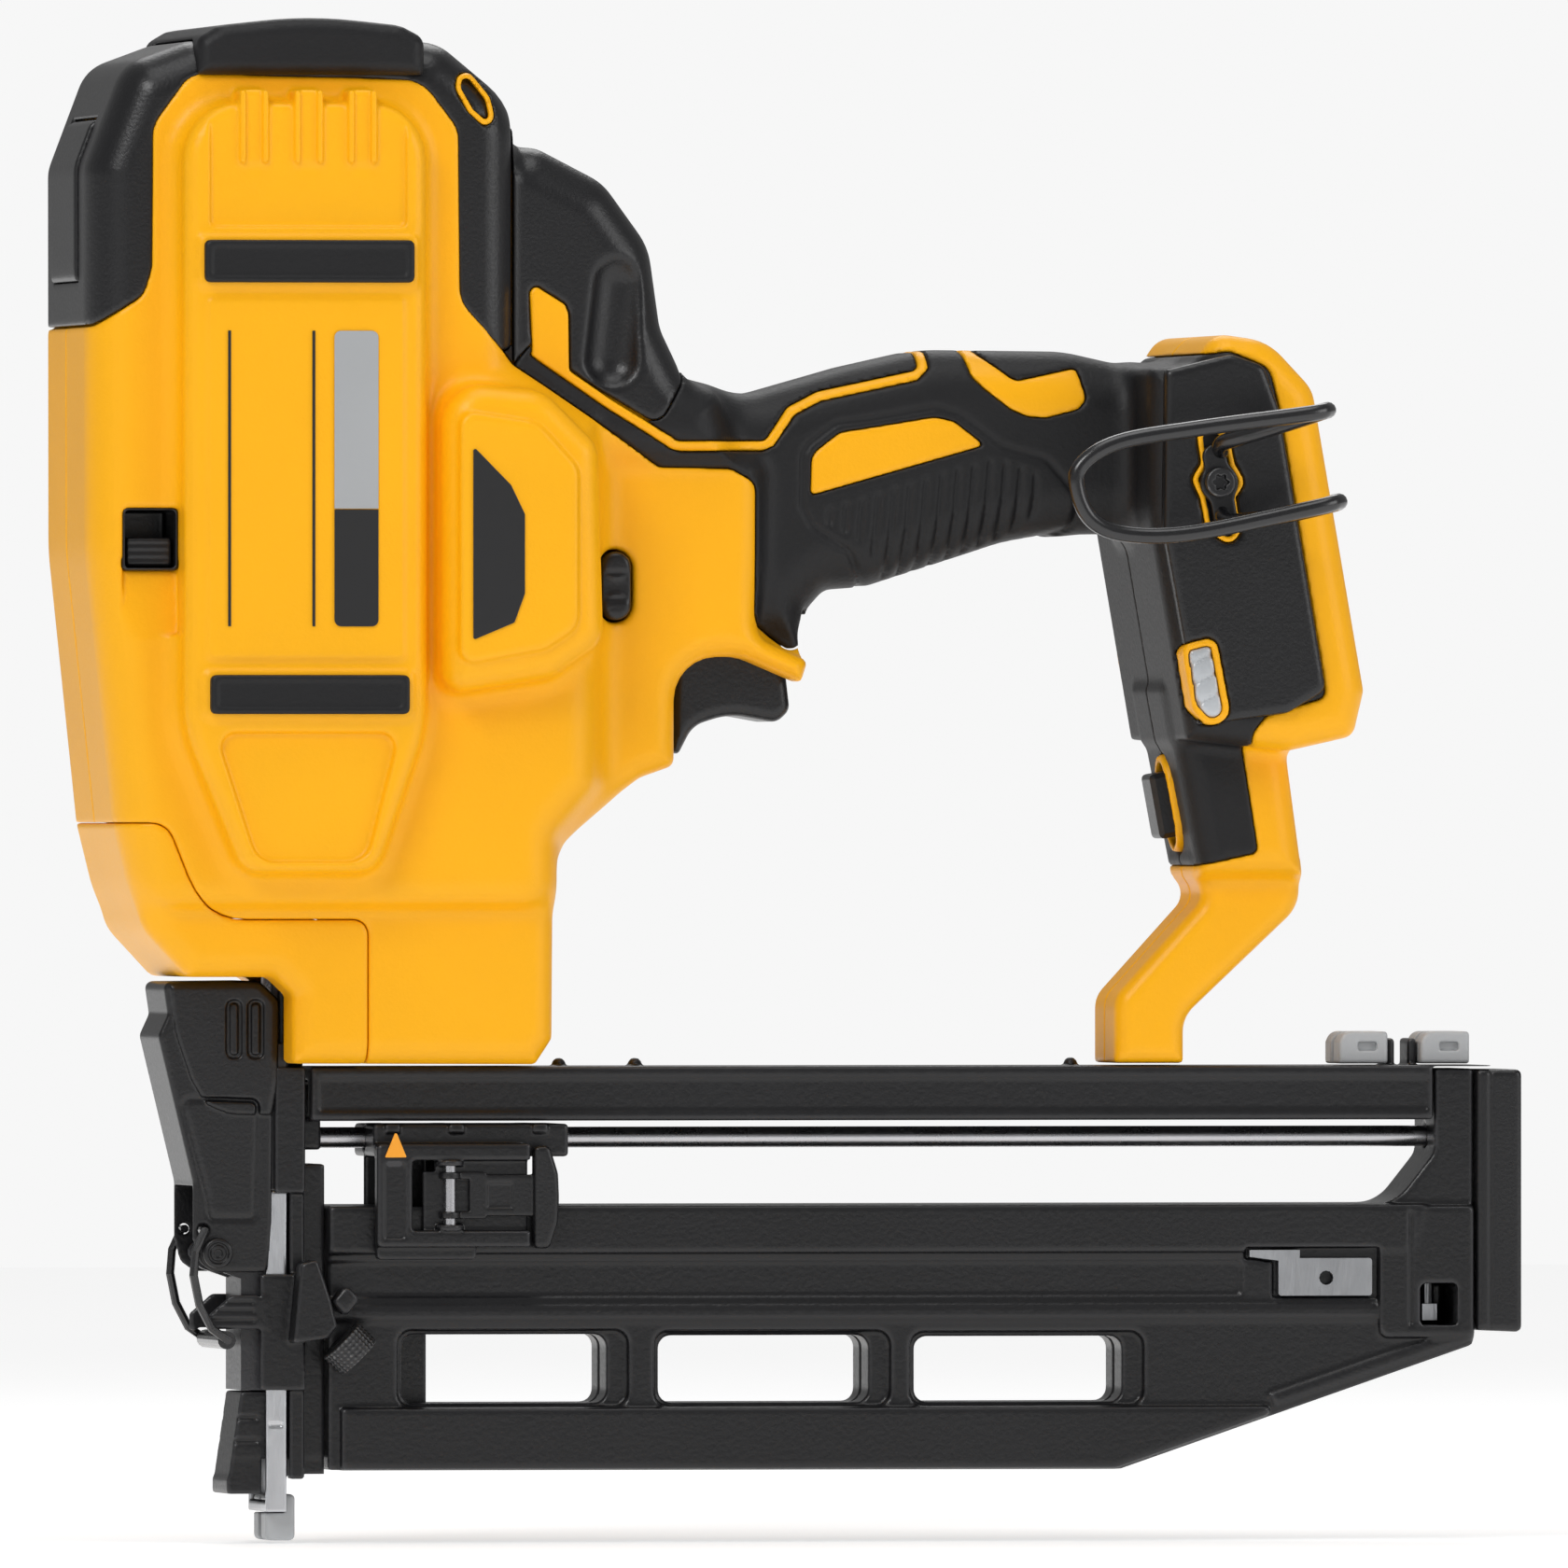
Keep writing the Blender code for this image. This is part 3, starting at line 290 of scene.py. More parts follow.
COLUMN = [
    (173.2, 98.7, 0.5), (173.2, 112.4, 6), (191.6, 132.6, 4), (190.2, 141), (211.8, 141), (212.6, 131.5, 8),
    (187.8, 108.2, 7), (187.8, 98.7, 0.5),
]

YELLOW_BODY = [
    (-60, 249), (-44, 251.2, 2), (-34.6, 257.4, 5), (-32.9, 263, 3), (-32.7, 292.6, 8), (-24.8, 303.4, 6),
    (23.7, 302.2, 8), (31.4, 292, 6), (31.8, 256.6, 7), (43.5, 243.4, 2), (75.3, 222.3, 3), (90.5, 222, 4),
    (95.9, 219, 3), (95.9, 190.4, 4), (104.4, 184, 3), (108, 186), (122, 172), (122, 90), (-60, 90),
]
COVER = [(-60, 148.6), (-29.6, 148.6, 5), (-21.6, 128.6, 14), (13.3, 128.6, 3), (13.3, 90), (-60, 90)]
FOOT_YELLOW = [
    (168, 262), (183.1, 245.2, 2), (193.2, 246.4, 4), (201.6, 243, 4), (203.5, 234.5, 8), (213.5, 174.6, 2),
    (200.9, 170.9, 3), (198.1, 167.2, 3), (202.1, 142.4, 1.5), (180, 137.5), (160, 134), (160, 90),
    (230, 90), (230, 262),
]
CAP_REGION = [
    (-60, 249.4), (-44, 251.6, 2), (-34.3, 257.7, 5), (-32.6, 263, 3), (-32.4, 292.6, 8), (-24.6, 303.1, 6),
    (23.5, 301.9, 8), (31.1, 292, 6), (31.5, 256.4, 7), (43.3, 243.1, 2), (43.45, 330), (-60, 330),
]
GUARD_REGION = [
    (-60, 280.6), (-50, 280.6, 1), (-46.2, 260.2, 1), (-39.6, 263.2, 3), (-35.2, 268.8, 3), (-35.2, 296, 1),
    (-41.5, 294, 3), (-60, 284),
]
STRIPE = [
    (48.1, 246.4), (49.6, 245.2), (64, 235.4), (78, 226.9), (79.4, 226.7), (98, 226.8), (99.6, 227.5),
    (104.3, 234), (110.4, 237.1), (130.6, 241.4), (132.4, 243), (132.4, 250),
]
TAB = [
    (47.4, 258.6, 0.6), (48.6, 259.8, 0.8), (54.9, 255.9, 1.4), (55.6, 253.9, 1), (55.8, 240.5),
    (48, 245.8, 1),
]
BACK_TAB = [
    (140.2, 250), (142.4, 241.2, 3), (145.3, 238.4), (150.4, 234.5, 3), (154, 233, 3), (158, 232.8, 3),
    (164.6, 234.5, 2), (166.3, 236.6, 1.5), (164.6, 243, 1), (151.5, 240.2, 3), (144, 246, 2), (143.4, 250),
]
SHROUD_REGION = [
    (43.75, 330), (43.75, 243.4), (47.5, 247.6), (62, 238.3, 2), (74.4, 231, 3), (80.2, 240.4, 3),
    (77, 262), (90, 330),
]
GRIP_PLATE = [
    (108.2, 216.6, 0.6), (108.4, 225, 4), (114.4, 229.6, 4), (121, 230.6), (134.4, 232.8, 3),
    (138.4, 231.9, 2), (144.8, 227, 0.6),
]
GRIP_INLAY = [
    (106.4, 214), (106.6, 226.2, 5), (113.6, 231.6, 4), (120.8, 232.4), (134.6, 234.8, 3),
    (139.4, 233.4, 3), (148.6, 226.6, 2), (158, 224, 4), (165, 216, 6), (164, 209.8, 3), (150, 206, 30),
    (124, 196, 4), (120.2, 197, 2), (116.4, 204.8, 3), (108.6, 210, 3),
]
GRIP_RIBS = [
    (109.4, 213.4, 1), (121, 217), (137, 222), (147, 224.6, 2), (156, 222, 2), (158, 213.6, 2), (150, 208),
    (135, 202), (124, 198.6, 2), (119.8, 205.6, 3), (110.4, 210.6, 2),
]
CAP_SLOT = [
    (31.7, 302.6, 1.6), (34.2, 303.4, 1.2), (37.9, 298.4, 1.2), (38.6, 293.8, 1.4), (36.6, 293.4, 1.4),
    (33.9, 295.8, 1.2), (31.4, 300.4, 1.2),
]
RIB_PITCH = 3.3  # between the grip's ribs
PARTING = 0.12  # half the gap between two mouldings
OVERMOULD = 2.4  # depth of the rubber let into the shell
WALL = 4.6  # of the shell where no rubber covers it
LIGHT_IN = 31.5  # how near to the middle the work light reaches


def housing(field):
    """Distance to the whole outside of the housing, before it is split into mouldings."""
    upper = keep(field.even(TORSO, 33.4, 8), field.even(UPPER, 60), 6)
    solid = merge(upper, field.even(TORSO, 28, 5), 3)
    panel = field.even(PANEL, 42, 3.4)
    solid = merge(solid, panel, 5)
    inner = keep(field.even(PANEL_TOP, 60), 41.0 - field.half)
    solid = carve(solid, inner, 0.8)
    for left in (-15.7, -4.3, 6.9):
        solid = merge(solid, field.even(rect(left, left + 6, 284.6, 300, 0.8), 42.3, 0.8), 0.8)
        groove = rect(left + 1.3, left + 4.7, 283, 302, 0.6, 0.6, 0, 0)
        solid = carve(solid, keep(field.even(groove, 60), 41.2 - field.half), 0.6)
    solid = carve(solid, keep(field.even(PANEL_FOOT, 60), 40.3 - field.half), 1.2)
    solid = merge(solid, field.even(rect(-22.4, 18.6, 182.4, 257, 1), 42.55, 0.6), 0.8)
    for bumper_seat in ((-24.4, 21.4, 259.1, 269.9), (-23.2, 20.4, 170.1, 180.2)):
        solid = merge(solid, field.even(rect(*bumper_seat, 1.6), 42.9, 0.8), 1.2)
    bump = field.even(BUMP, 44.2, 5)
    bump = merge(bump, field.even(BUMP_FACE, 45.8, 1.2), 1)
    solid = merge(solid, bump, 5)
    solid = merge(solid, field.even(THROAT, 22, 5), 7)
    solid = merge(solid, field.even(SHROUD, 27, 9), 3)
    handle = field.even(HANDLE, 17, 11)
    solid = merge(solid, handle, 6)
    foot = merge(field.even(FOOT, 36, 6), field.even(STEM, 20.5, 6), 3)
    foot = merge(foot, field.even(COLUMN, 14, 3.5), 3)
    solid = merge(solid, foot, 5)
    for side in (-1, 1):
        solid = carve(solid, field.bar((64.6, side * 30.2, 244.6), (66.4, side * 30.2, 260), 6.6), 1.2)
    return solid


TILT = math.radians(10.4)
LED = [(183.7, 184.4, 1), (188.6, 185.6, 1), (191.3, 171.6, 2), (188.6, 169.6, 2), (185.6, 173, 1)]
FOOT_PANEL = [
    (179, 242.6, 0), (193, 246, 3), (200, 243.6, 3), (203.4, 234.5, 4), (213.3, 176, 3), (205, 171.2, 3),
    (186, 168.6, 0), (178.6, 209, 0),
]
HOOK_SLOT = [
    (186.2, 229.4, 1.4), (187.2, 223, 1), (185.2, 219.8, 1.6), (186.9, 216.2, 1), (188.2, 209.6, 1.6),
    (192.6, 206.8, 1.6), (194.4, 209.2, 1), (193.2, 216.2, 1), (195.2, 219.2, 1.6), (193, 223, 1),
    (192, 228.6, 1.4), (189, 230.6, 1.4),
]
BATTERY_FACE = (217.6, 203.0)
MODE_FACE = (186.9, 152.6)


def sloped(field, x, z):
    """(distance forward of, distance up along) the foot's slope through (x, z)."""
    dx, dz = field.x - x, field.z - z
    return (-dx * math.cos(TILT) - dz * math.sin(TILT), -dx * math.sin(TILT) + dz * math.cos(TILT))


def openings(field, solid):
    """The housing with its rooms for the trigger, the battery, the mode switch and the lock-off button."""
    trigger_room = field.outline([(79.4, 150), (107.6, 150), (108.2, 193), (79.4, 193)])
    solid = carve(solid, keep(trigger_room, field.half - 11), 0.8)
    deep, up = sloped(field, *BATTERY_FACE)
    rail = keep(keep(deep - 8, 3 - deep), keep(up - 30, field.half - 30))
    mouth = keep(deep - 3.4, keep(up - 29, field.half - 26))
    solid = carve(carve(solid, rail), mouth, 0.8)
    out, up = sloped(field, *MODE_FACE)
    slot = np.hypot(np.maximum(np.abs(up) - 3.4, 0), field.half) - 5.4
    ring = keep(np.abs(slot - 0.6) - 1.0, np.abs(out) - 0.8, 0.6)
    solid = carve(merge(solid, ring, 0.3), keep(slot, np.abs(out) - 6))
    button = field.bar((66, -60, 194), (66, 60, 194), 3.9)
    button = merge(button, field.bar((66, -60, 201.4), (66, 60, 201.4), 3.9))
    button = merge(button, field.box(62.1, 69.9, -60, 60, 194, 201.4))
    return carve(solid, button, 1.2)


def make_housing(step):
    """Both shells and grips, and the left side's work-light lens and foot panel."""
    field = Field((-47, -47, 97), (224, 0.6, 312), step)
    solid = openings(field, housing(field))
    led = field.outline(LED)
    side_face = merge(solid, field.even(FOOT_PANEL, 38.3, 1.6), 0.8)
    ring = keep(keep(np.abs(led - 0.65) - 0.7, side_face - 0.55, 0.4), LIGHT_IN - field.half)
    ring = carve(ring, side_face + 3)
    lens = carve(keep(keep(led + 0.15, side_face - 0.2, 0.5), LIGHT_IN - field.half), side_face + 3.2)
    for x, z in ((186.4, 182.4), (187.4, 178.4), (188.4, 174.4)):
        lens = carve(lens, keep(np.abs((field.z - z) - 0.5 * (field.x - x)) - 0.3, -(side_face + 0.5)), 0.4)
    hook_slot = field.outline(HOOK_SLOT)
    slot_rim = keep(np.abs(hook_slot) - 0.55, keep(side_face - 0.35, 36.5 - field.half), 0.3)
    yellow = merge(field.outline(YELLOW_BODY), field.outline(FOOT_YELLOW))
    for shape in (thick_line(STRIPE, 2.0), TAB, BACK_TAB, GRIP_PLATE):
        yellow = merge(yellow, field.outline(shape))
    cover = field.outline(COVER)
    out, up = sloped(field, *MODE_FACE)
    bezel = keep(np.hypot(np.maximum(np.abs(up) - 3.4, 0), field.half) - 7.0, np.abs(out) - 3)
    yellow = merge(yellow, bezel)
    shell = merge(keep(solid, yellow, 0.5), solid + OVERMOULD)
    shell = merge(shell, ring)
    shell = carve(shell, solid + WALL)
    shell = carve(shell, cover - 0.15)
    shell = carve(shell, keep(led + 0.05, LIGHT_IN - field.half))
    shell = merge(shell, slot_rim)
    shell = keep(shell, field.y + PARTING, 0.5)
    screw = field.bar((SCREW_X, -60, SCREW_Z), (SCREW_X, -20, SCREW_Z), 2.1)
    shell = carve(shell, screw)
    unmirrored = surface(field, shell, "unmirrored_shell")
    right_side = mirrored(unmirrored, "right_shell_skin")
    bpy.data.objects.remove(unmirrored)
    window = field.box(-38.8, -27.2, -60, -16, 200.9, 213.7, 1)
    ramp = keep(field.outline([(-38.8, 187.6, 0.8), (-27.2, 187.6, 0.8), (-27.2, 203), (-38.8, 203)]),
                field.y + 33.2 - (field.z - 187.6) * 0.16)
    shell = carve(carve(shell, ramp, 0.6), window, 0.6)
    left_side = surface(field, shell, "left_shell_skin")
    inlay = field.outline(GRIP_INLAY)
    pitch = (field.x - 0.08 * (field.z - 212)) / RIB_PITCH
    rib = np.abs(pitch - np.round(pitch)) * RIB_PITCH
    dent = 0.75 * np.exp(-(rib / 0.6) ** 2) * np.clip(-field.outline(GRIP_RIBS), 0, 1)
    dent = dent + 0.8 * np.exp(-(inlay / 0.6) ** 2)
    black = keep(carve(solid + dent, yellow - PARTING, 0.5), -(solid + 2.1), 0.2)
    covers = merge(field.outline(CAP_REGION), field.outline(SHROUD_REGION))
    black = carve(carve(black, covers - PARTING, 0.5), cover)
    black = keep(black, field.y + PARTING, 0.5)
    black = carve(carve(black, screw), keep(led - 1.45, LIGHT_IN - field.half))
    panel = keep(keep(side_face, field.outline(FOOT_PANEL) + 0.1, 0.6), 34.5 - field.half)
    panel = carve(carve(panel, led - 1.45, 0.2), keep(hook_slot - 0.65, 36.2 - field.half), 0.2)
    panel = keep(carve(panel, screw), field.y)
    lens = surface(field, keep(lens, field.y), "led_lens_left_skin")
    panel = surface(field, panel, "foot_panel_left_skin")
    left_grip = surface(field, black, "left_grip_skin")
    right_grip = mirrored(left_grip, "right_grip_skin")
    return left_side, right_side, left_grip, right_grip, lens, panel


def make_top(step):
    """The cap, the front guard, the rear shroud and the nose cover."""
    field = Field((-48, -36, 240), (44.6, 36, 312), step)
    solid = housing(field)
    region = field.outline(CAP_REGION)
    guard = keep(field.outline(GUARD_REGION), field.half - 16)
    thin = -(solid + 2.0)
    cap = keep(keep(solid, region, 0.6), thin, 0.2)
    cap = carve(cap, guard - 0.2, 0.4)
    slot = field.outline(CAP_SLOT)
    rim = keep(keep(np.abs(slot) - 0.55, solid - 0.3), keep(-(solid + 1.4), 12 - field.half))
    cap = carve(cap, keep(slot - 0.6, 12 - field.half), 0.2)
    cap = merge(cap, keep(keep(slot + 0.5, solid + 0.9), keep(-(solid + 2.0), 12 - field.half)))
    rim = dress(surface(field, rim, "cap_slot_rims"), "yellow", "tool", slot="yellow_plastic")
    cap = surface(field, cap, "cap_skin")
    guard = keep(keep(solid - 0.8, guard, 0.6), -(solid + 1.8))
    guard = surface(field, guard, "guard_skin")
    field = Field((42, -30, 220), (94, 30, 292), step)
    solid = housing(field)
    shroud = keep(keep(solid, field.outline(SHROUD_REGION), 0.6), -(solid + 2.0), 0.2)
    for shape in (thick_line(STRIPE, 2.0), TAB):
        shroud = carve(shroud, field.outline(shape) - PARTING, 0.4)
    shroud = surface(field, shroud, "shroud_skin")
    field = Field((-46, -35, 97), (15, 35, 150), step)
    solid = openings(field, housing(field))
    cover = keep(keep(solid, field.outline(COVER), 0.6), -(solid + 2.6), 0.2)
    mouth = field.box(-12, 30, -12.5, 12.5, 90, 125, 1)
    cover = surface(field, carve(cover, mouth, 0.4), "nose_cover_skin")
    return cap, guard, shroud, cover


# --- Materials ---

def fill(node, **values):
    """Sets a node's inputs. An input's name is written with _ for each space."""
    for key, value in values.items():
        node.inputs[key.replace("_", " ")].default_value = value
    return node


def material(name, colour, rough, metallic=0.0, grain=900.0, bump=0.06, vary=0.08, edge_highlight=None, coat=0.0,
             streak=None, shine=0.5):
    """A procedural finish: slow colour drift, fine moulded or machined grain, and a painted highlight: sharp
    convex edges mixed towards a lighter colour.
    """
    made = bpy.data.materials.new(name)
    made.use_nodes = True
    nodes, links = made.node_tree.nodes, made.node_tree.links
    shader = nodes["Principled BSDF"]
    fill(shader, Metallic=metallic, Coat_Weight=coat, Specular_IOR_Level=shine, Coat_Roughness=0.25)
    coords = nodes.new("ShaderNodeTexCoord")
    mapping = nodes.new("ShaderNodeMapping")
    links.new(coords.outputs["Object"], mapping.inputs["Vector"])
    if streak:
        fill(mapping, Scale=streak)

    def noise(scale, detail):
        node = fill(nodes.new("ShaderNodeTexNoise"), Scale=scale, Detail=detail)
        links.new(mapping.outputs["Vector"], node.inputs["Vector"])
        return node

    drift, fine = noise(22.0, 4.0), noise(grain, 3.0)
    ramp = nodes.new("ShaderNodeValToRGB")
    ramp.color_ramp.elements[0].position, ramp.color_ramp.elements[1].position = 0.3, 0.7
    ramp.color_ramp.elements[0].color = (*[c * (1 - vary) for c in colour], 1)
    ramp.color_ramp.elements[1].color = (*[min(c * (1 + vary), 1) for c in colour], 1)
    links.new(drift.outputs["Fac"], ramp.inputs["Fac"])
    tint = ramp.outputs["Color"]
    # Painted highlight: sharp convex edges, found by pointiness, are mixed towards a lighter colour.
    if edge_highlight:
        geometry = nodes.new("ShaderNodeNewGeometry")
        edge = fill(nodes.new("ShaderNodeMapRange"), From_Min=0.51, From_Max=0.57, To_Max=0.55)
        links.new(geometry.outputs["Pointiness"], edge.inputs["Value"])
        mix = nodes.new("ShaderNodeMix")
        mix.data_type = "RGBA"
        mix.inputs["B"].default_value = (*edge_highlight, 1)
        links.new(edge.outputs["Result"], mix.inputs["Factor"])
        links.new(tint, mix.inputs["A"])
        tint = mix.outputs["Result"]
    links.new(tint, shader.inputs["Base Color"])
    spread = fill(nodes.new("ShaderNodeMapRange"), To_Min=rough - 0.06, To_Max=rough + 0.06)
    links.new(fine.outputs["Fac"], spread.inputs["Value"])
    links.new(spread.outputs["Result"], shader.inputs["Roughness"])
    relief = fill(nodes.new("ShaderNodeBump"), Strength=bump, Distance=0.0004)
    links.new(fine.outputs["Fac"], relief.inputs["Height"])
    links.new(relief.outputs["Normal"], shader.inputs["Normal"])
    return made


FINISH = {
    "yellow": material("yellow_nylon", (0.94, 0.435, 0.003), 0.38, grain=1400, bump=0.12, vary=0.03,
                       shine=0.3),
    "black": material("black_nylon", (0.006, 0.006, 0.007), 0.34, grain=1400, bump=0.16, vary=0.15,
                      shine=0.5),
    "rubber": material("black_rubber", (0.0065, 0.0065, 0.0075), 0.50, grain=1100, bump=0.22, vary=0.15,
                       shine=0.35),
    # Painted highlight: this black finish is made lighter on its sharp edges.
    "cast": material("black_magnesium", (0.006, 0.006, 0.007), 0.33, grain=1000, bump=0.2, vary=0.2,
                     edge_highlight=(0.06, 0.06, 0.065), shine=0.45),
    "steel": material("machined_steel", (0.52, 0.52, 0.54), 0.28, metallic=1.0, grain=300, bump=0.01),
    # Painted highlight: the black oxide is made lighter on its sharp edges.
    "dark_steel": material("black_oxide", (0.05, 0.05, 0.052), 0.38, metallic=0.85, grain=900, bump=0.08,
                           edge_highlight=(0.2, 0.2, 0.2)),
    "zinc": material("zinc_plate", (0.50, 0.51, 0.53), 0.30, metallic=1.0, grain=700, bump=0.5,
                     streak=(1, 1, 0.12), vary=0.35),
    "aluminium": material("cast_aluminium", (0.55, 0.56, 0.58), 0.42, metallic=1.0, grain=800),
    "grey": material("grey_tip_plastic", (0.42, 0.43, 0.44), 0.38, grain=1200, bump=0.08, vary=0.04),
    "green": material("circuit_board", (0.02, 0.16, 0.06), 0.35, grain=300, bump=0.3, vary=0.2),
    "clear": material("clear_lens", (0.40, 0.42, 0.44), 0.10, grain=420, bump=0.5, vary=0.45, coat=0.8),
    "wire": material("black_enamel", (0.008, 0.008, 0.009), 0.24, grain=900, bump=0.06, vary=0.1, coat=0.4,
                     shine=0.5),
    "orange": material("orange_print", (0.90, 0.36, 0.02), 0.5, vary=0.04),
    "silver": material("silver_label", (0.36, 0.37, 0.38), 0.4, vary=0.03, bump=0.02),
    "print": material("black_print", (0.012, 0.012, 0.013), 0.36, vary=0.05, bump=0.02),
}
# Finishes of the CAD nodes that no piece stands for.
NODE_FINISH = {
    "rubber": ("stop_bumper",),
    "black": ("trigger_switch", "mode_switch", "terminal_block"),
    "cast": ("nose_door",),
    "steel": ("guide_rod_left", "guide_rod_right", "driver_blade", "flywheel", "pinch_roller",
              "roller_arm", "solenoid", "door_pin", "feed_spring"),
    "wire": ("latch_bail",),
    "zinc": ("end_bolt", "nail_stop"),
    "aluminium": ("drive_frame", "driver_carriage", "motor_stator"),
    "green": ("control_board",),
}


def dress(piece, finish, body, *replaced, slot=None):
    """Gives a new piece its finish and its body, and hides the CAD nodes that it stands for."""
    piece.data.materials.clear()
    piece.data.materials.append(FINISH[finish])
    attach(piece, body)
    if replaced:
        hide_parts(*replaced)
    return piece


for finish, names in NODE_FINISH.items():
    for name in names:
        for slot in NODES[name].material_slots:
            slot.material = FINISH[finish]

STEP = 0.6
left_side, right_side, left_grip, right_grip, lens, panel = make_housing(STEP)
right_lens, right_panel = mirrored(lens, "led_lens_right_skin"), mirrored(panel, "foot_panel_right_skin")
cap, guard, shroud, cover = make_top(STEP)
for piece, finish, node in (
        (lens, "clear", "led_lens_left"), (right_lens, "clear", "led_lens_right"),
        (panel, "black", "foot_panel_left"), (right_panel, "black", "foot_panel_right"),
        (left_side, "yellow", "left_shell"), (right_side, "yellow", "right_shell"),
        (left_grip, "rubber", "grip_left"), (right_grip, "rubber", "grip_right"), (cap, "black", "top_cap"),
        (guard, "black", "front_guard"), (shroud, "black", "rear_shroud"), (cover, "yellow", "nose_cover")):
    dress(piece, finish, "tool", node)


# --- Small mouldings ---

def sculpt(name, low, high, step, draw, finish, body, *replaced, slot=None):
    """A piece drawn as a distance field inside a box."""
    field = Field(low, high, step)
    piece = surface(field, draw(field), name)
    return dress(piece, finish, body, *replaced, slot=slot)


def top_bumper(f):
    crown = [(-23.6, 303, 1), (-23.6, 310.6, 3), (-19, 313.3, 4), (0, 315.4, 90), (19, 313.4, 4),
             (24, 310.8, 3), (24, 303, 1)]
    shape = f.even(crown, 36.4, 3)
    for x in (-18.6, 19):
        shape = carve(shape, f.bar((x, -60, 314.6), (x, 60, 314.6), 1.0), 0.8)
    return carve(shape, housing(f) - 0.25)


def side_bumper(x0, x1, z0, z1):
    def draw(f):
        shape = f.slab(rect(x0, x1, z0, z1, 1.2), -44.7, -42.2, 0.7)
        inner = rect(x0 + 1.6, x1 - 1.6, z0 + 1.4, z1 - 1.4, 0.8)
        return carve(shape, f.slab(inner, -46, -44.3, 0.3), 0.5)
    return draw


def trigger(f):
    return f.even([(80, 163.4, 0.8), (81.7, 162.8, 0.8), (84.8, 168.8, 6), (92.4, 171.2, 14),
                   (102.4, 169.4, 3), (105.2, 172, 2.6), (104.4, 179, 6), (103, 188), (80.5, 187.4)],
                  10.5, 2.4)


def lock_button(f):
    shape = None
    for z in (193.8, 201.6):
        end = f.bar((66, -24.4, z), (66, 22.2, z), 3.2)
        shape = end if shape is None else merge(shape, end)
    shape = merge(shape, f.box(62.8, 69.2, -24.6, 22.4, 193.8, 201.6))
    shape = keep(shape, np.abs(f.y + 1.1) - 23.5, 1.6)
    shape = merge(shape, f.box(59.5, 72.5, -2.6, 0.2, 187.4, 208, 1.2))
    for z in (195, 197.7, 200.4):
        shape = carve(shape, f.bar((60, -25.2, z), (72, -25.2, z), 0.9), 0.3)
    return shape


def stall_lever(f):
    shape = f.box(-37.8, -28.2, -30.8, -21, 201.6, 207.6, 0.8)
    for z in (203.2, 204.7, 206.2):
        shape = carve(shape, f.bar((-45, -31.2, z), (-20, -31.2, z), 0.6), 0.2)
    return shape


def window_liner(f):
    outer = f.box(-39.0, -27.0, -33.0, -17, 200.7, 213.9, 1)
    return carve(outer, f.box(-38.3, -27.8, -40, -18, 201.3, 213.2, 0.8))


LEVER = [
    (-27.2, 115.8, 1.5), (-26.2, 109, 1.5), (-28.2, 104.6, 2), (-20.9, 74.3, 3), (-20.9, 62.4, 2),
    (-19.6, 57.6, 2.6), (-16.6, 55.6, 2.6), (-5.2, 55.6, 1), (-4.4, 66), (-4.2, 88), (-3, 95),
    (-2.8, 112, 3), (-7, 116, 4),
]
LEVER_ROOM = [
    (-23.4, 113), (-24.6, 104.8), (-17.4, 74), (-30, 72), (-30, 50), (2, 50), (2, 118), (-8, 118),
    (-8, 113),
]


def latch_lever(f):
    shape = f.even(LEVER, 14, 1.8)
    shape = carve(shape, f.even(LEVER_ROOM, 12, 1))
    low_face = f.outline([(-40, 117), (-26.2, 116.4, 1), (-24.6, 105, 10), (-21.4, 95.6, 8), (-18.4, 90.4, 5),
                          (-13.4, 88.4, 4), (4, 88), (4, 40), (-40, 40)])
    shape = carve(shape, keep(low_face, 13.05 - f.half), 0.7)
    inner = f.outline([(-24, 92, 2), (-18.4, 71.6, 2), (-17.6, 66.4, 1.5), (-7.6, 66.4, 1.5), (-7, 91.6, 2)])
    shape = carve(shape, keep(np.abs(inner + 0.4) - 0.4, 12.75 - f.half), 0.4)
    for x0, x1 in ((-13.9, -11.0), (-9.4, -6.4)):
        pad = rect(x0, x1, 100, 111.8, 1.2)
        shape = carve(shape, keep(np.abs(f.outline(pad) + 0.2) - 0.38, 13.3 - f.half), 0.2)
    for x, z, radius in ((-16, 59.6, 1.62), (-18.8, 64.4, 1.15)):
        shape = carve(shape, f.bar((x, -60, z), (x, 60, z), radius))
    return shape


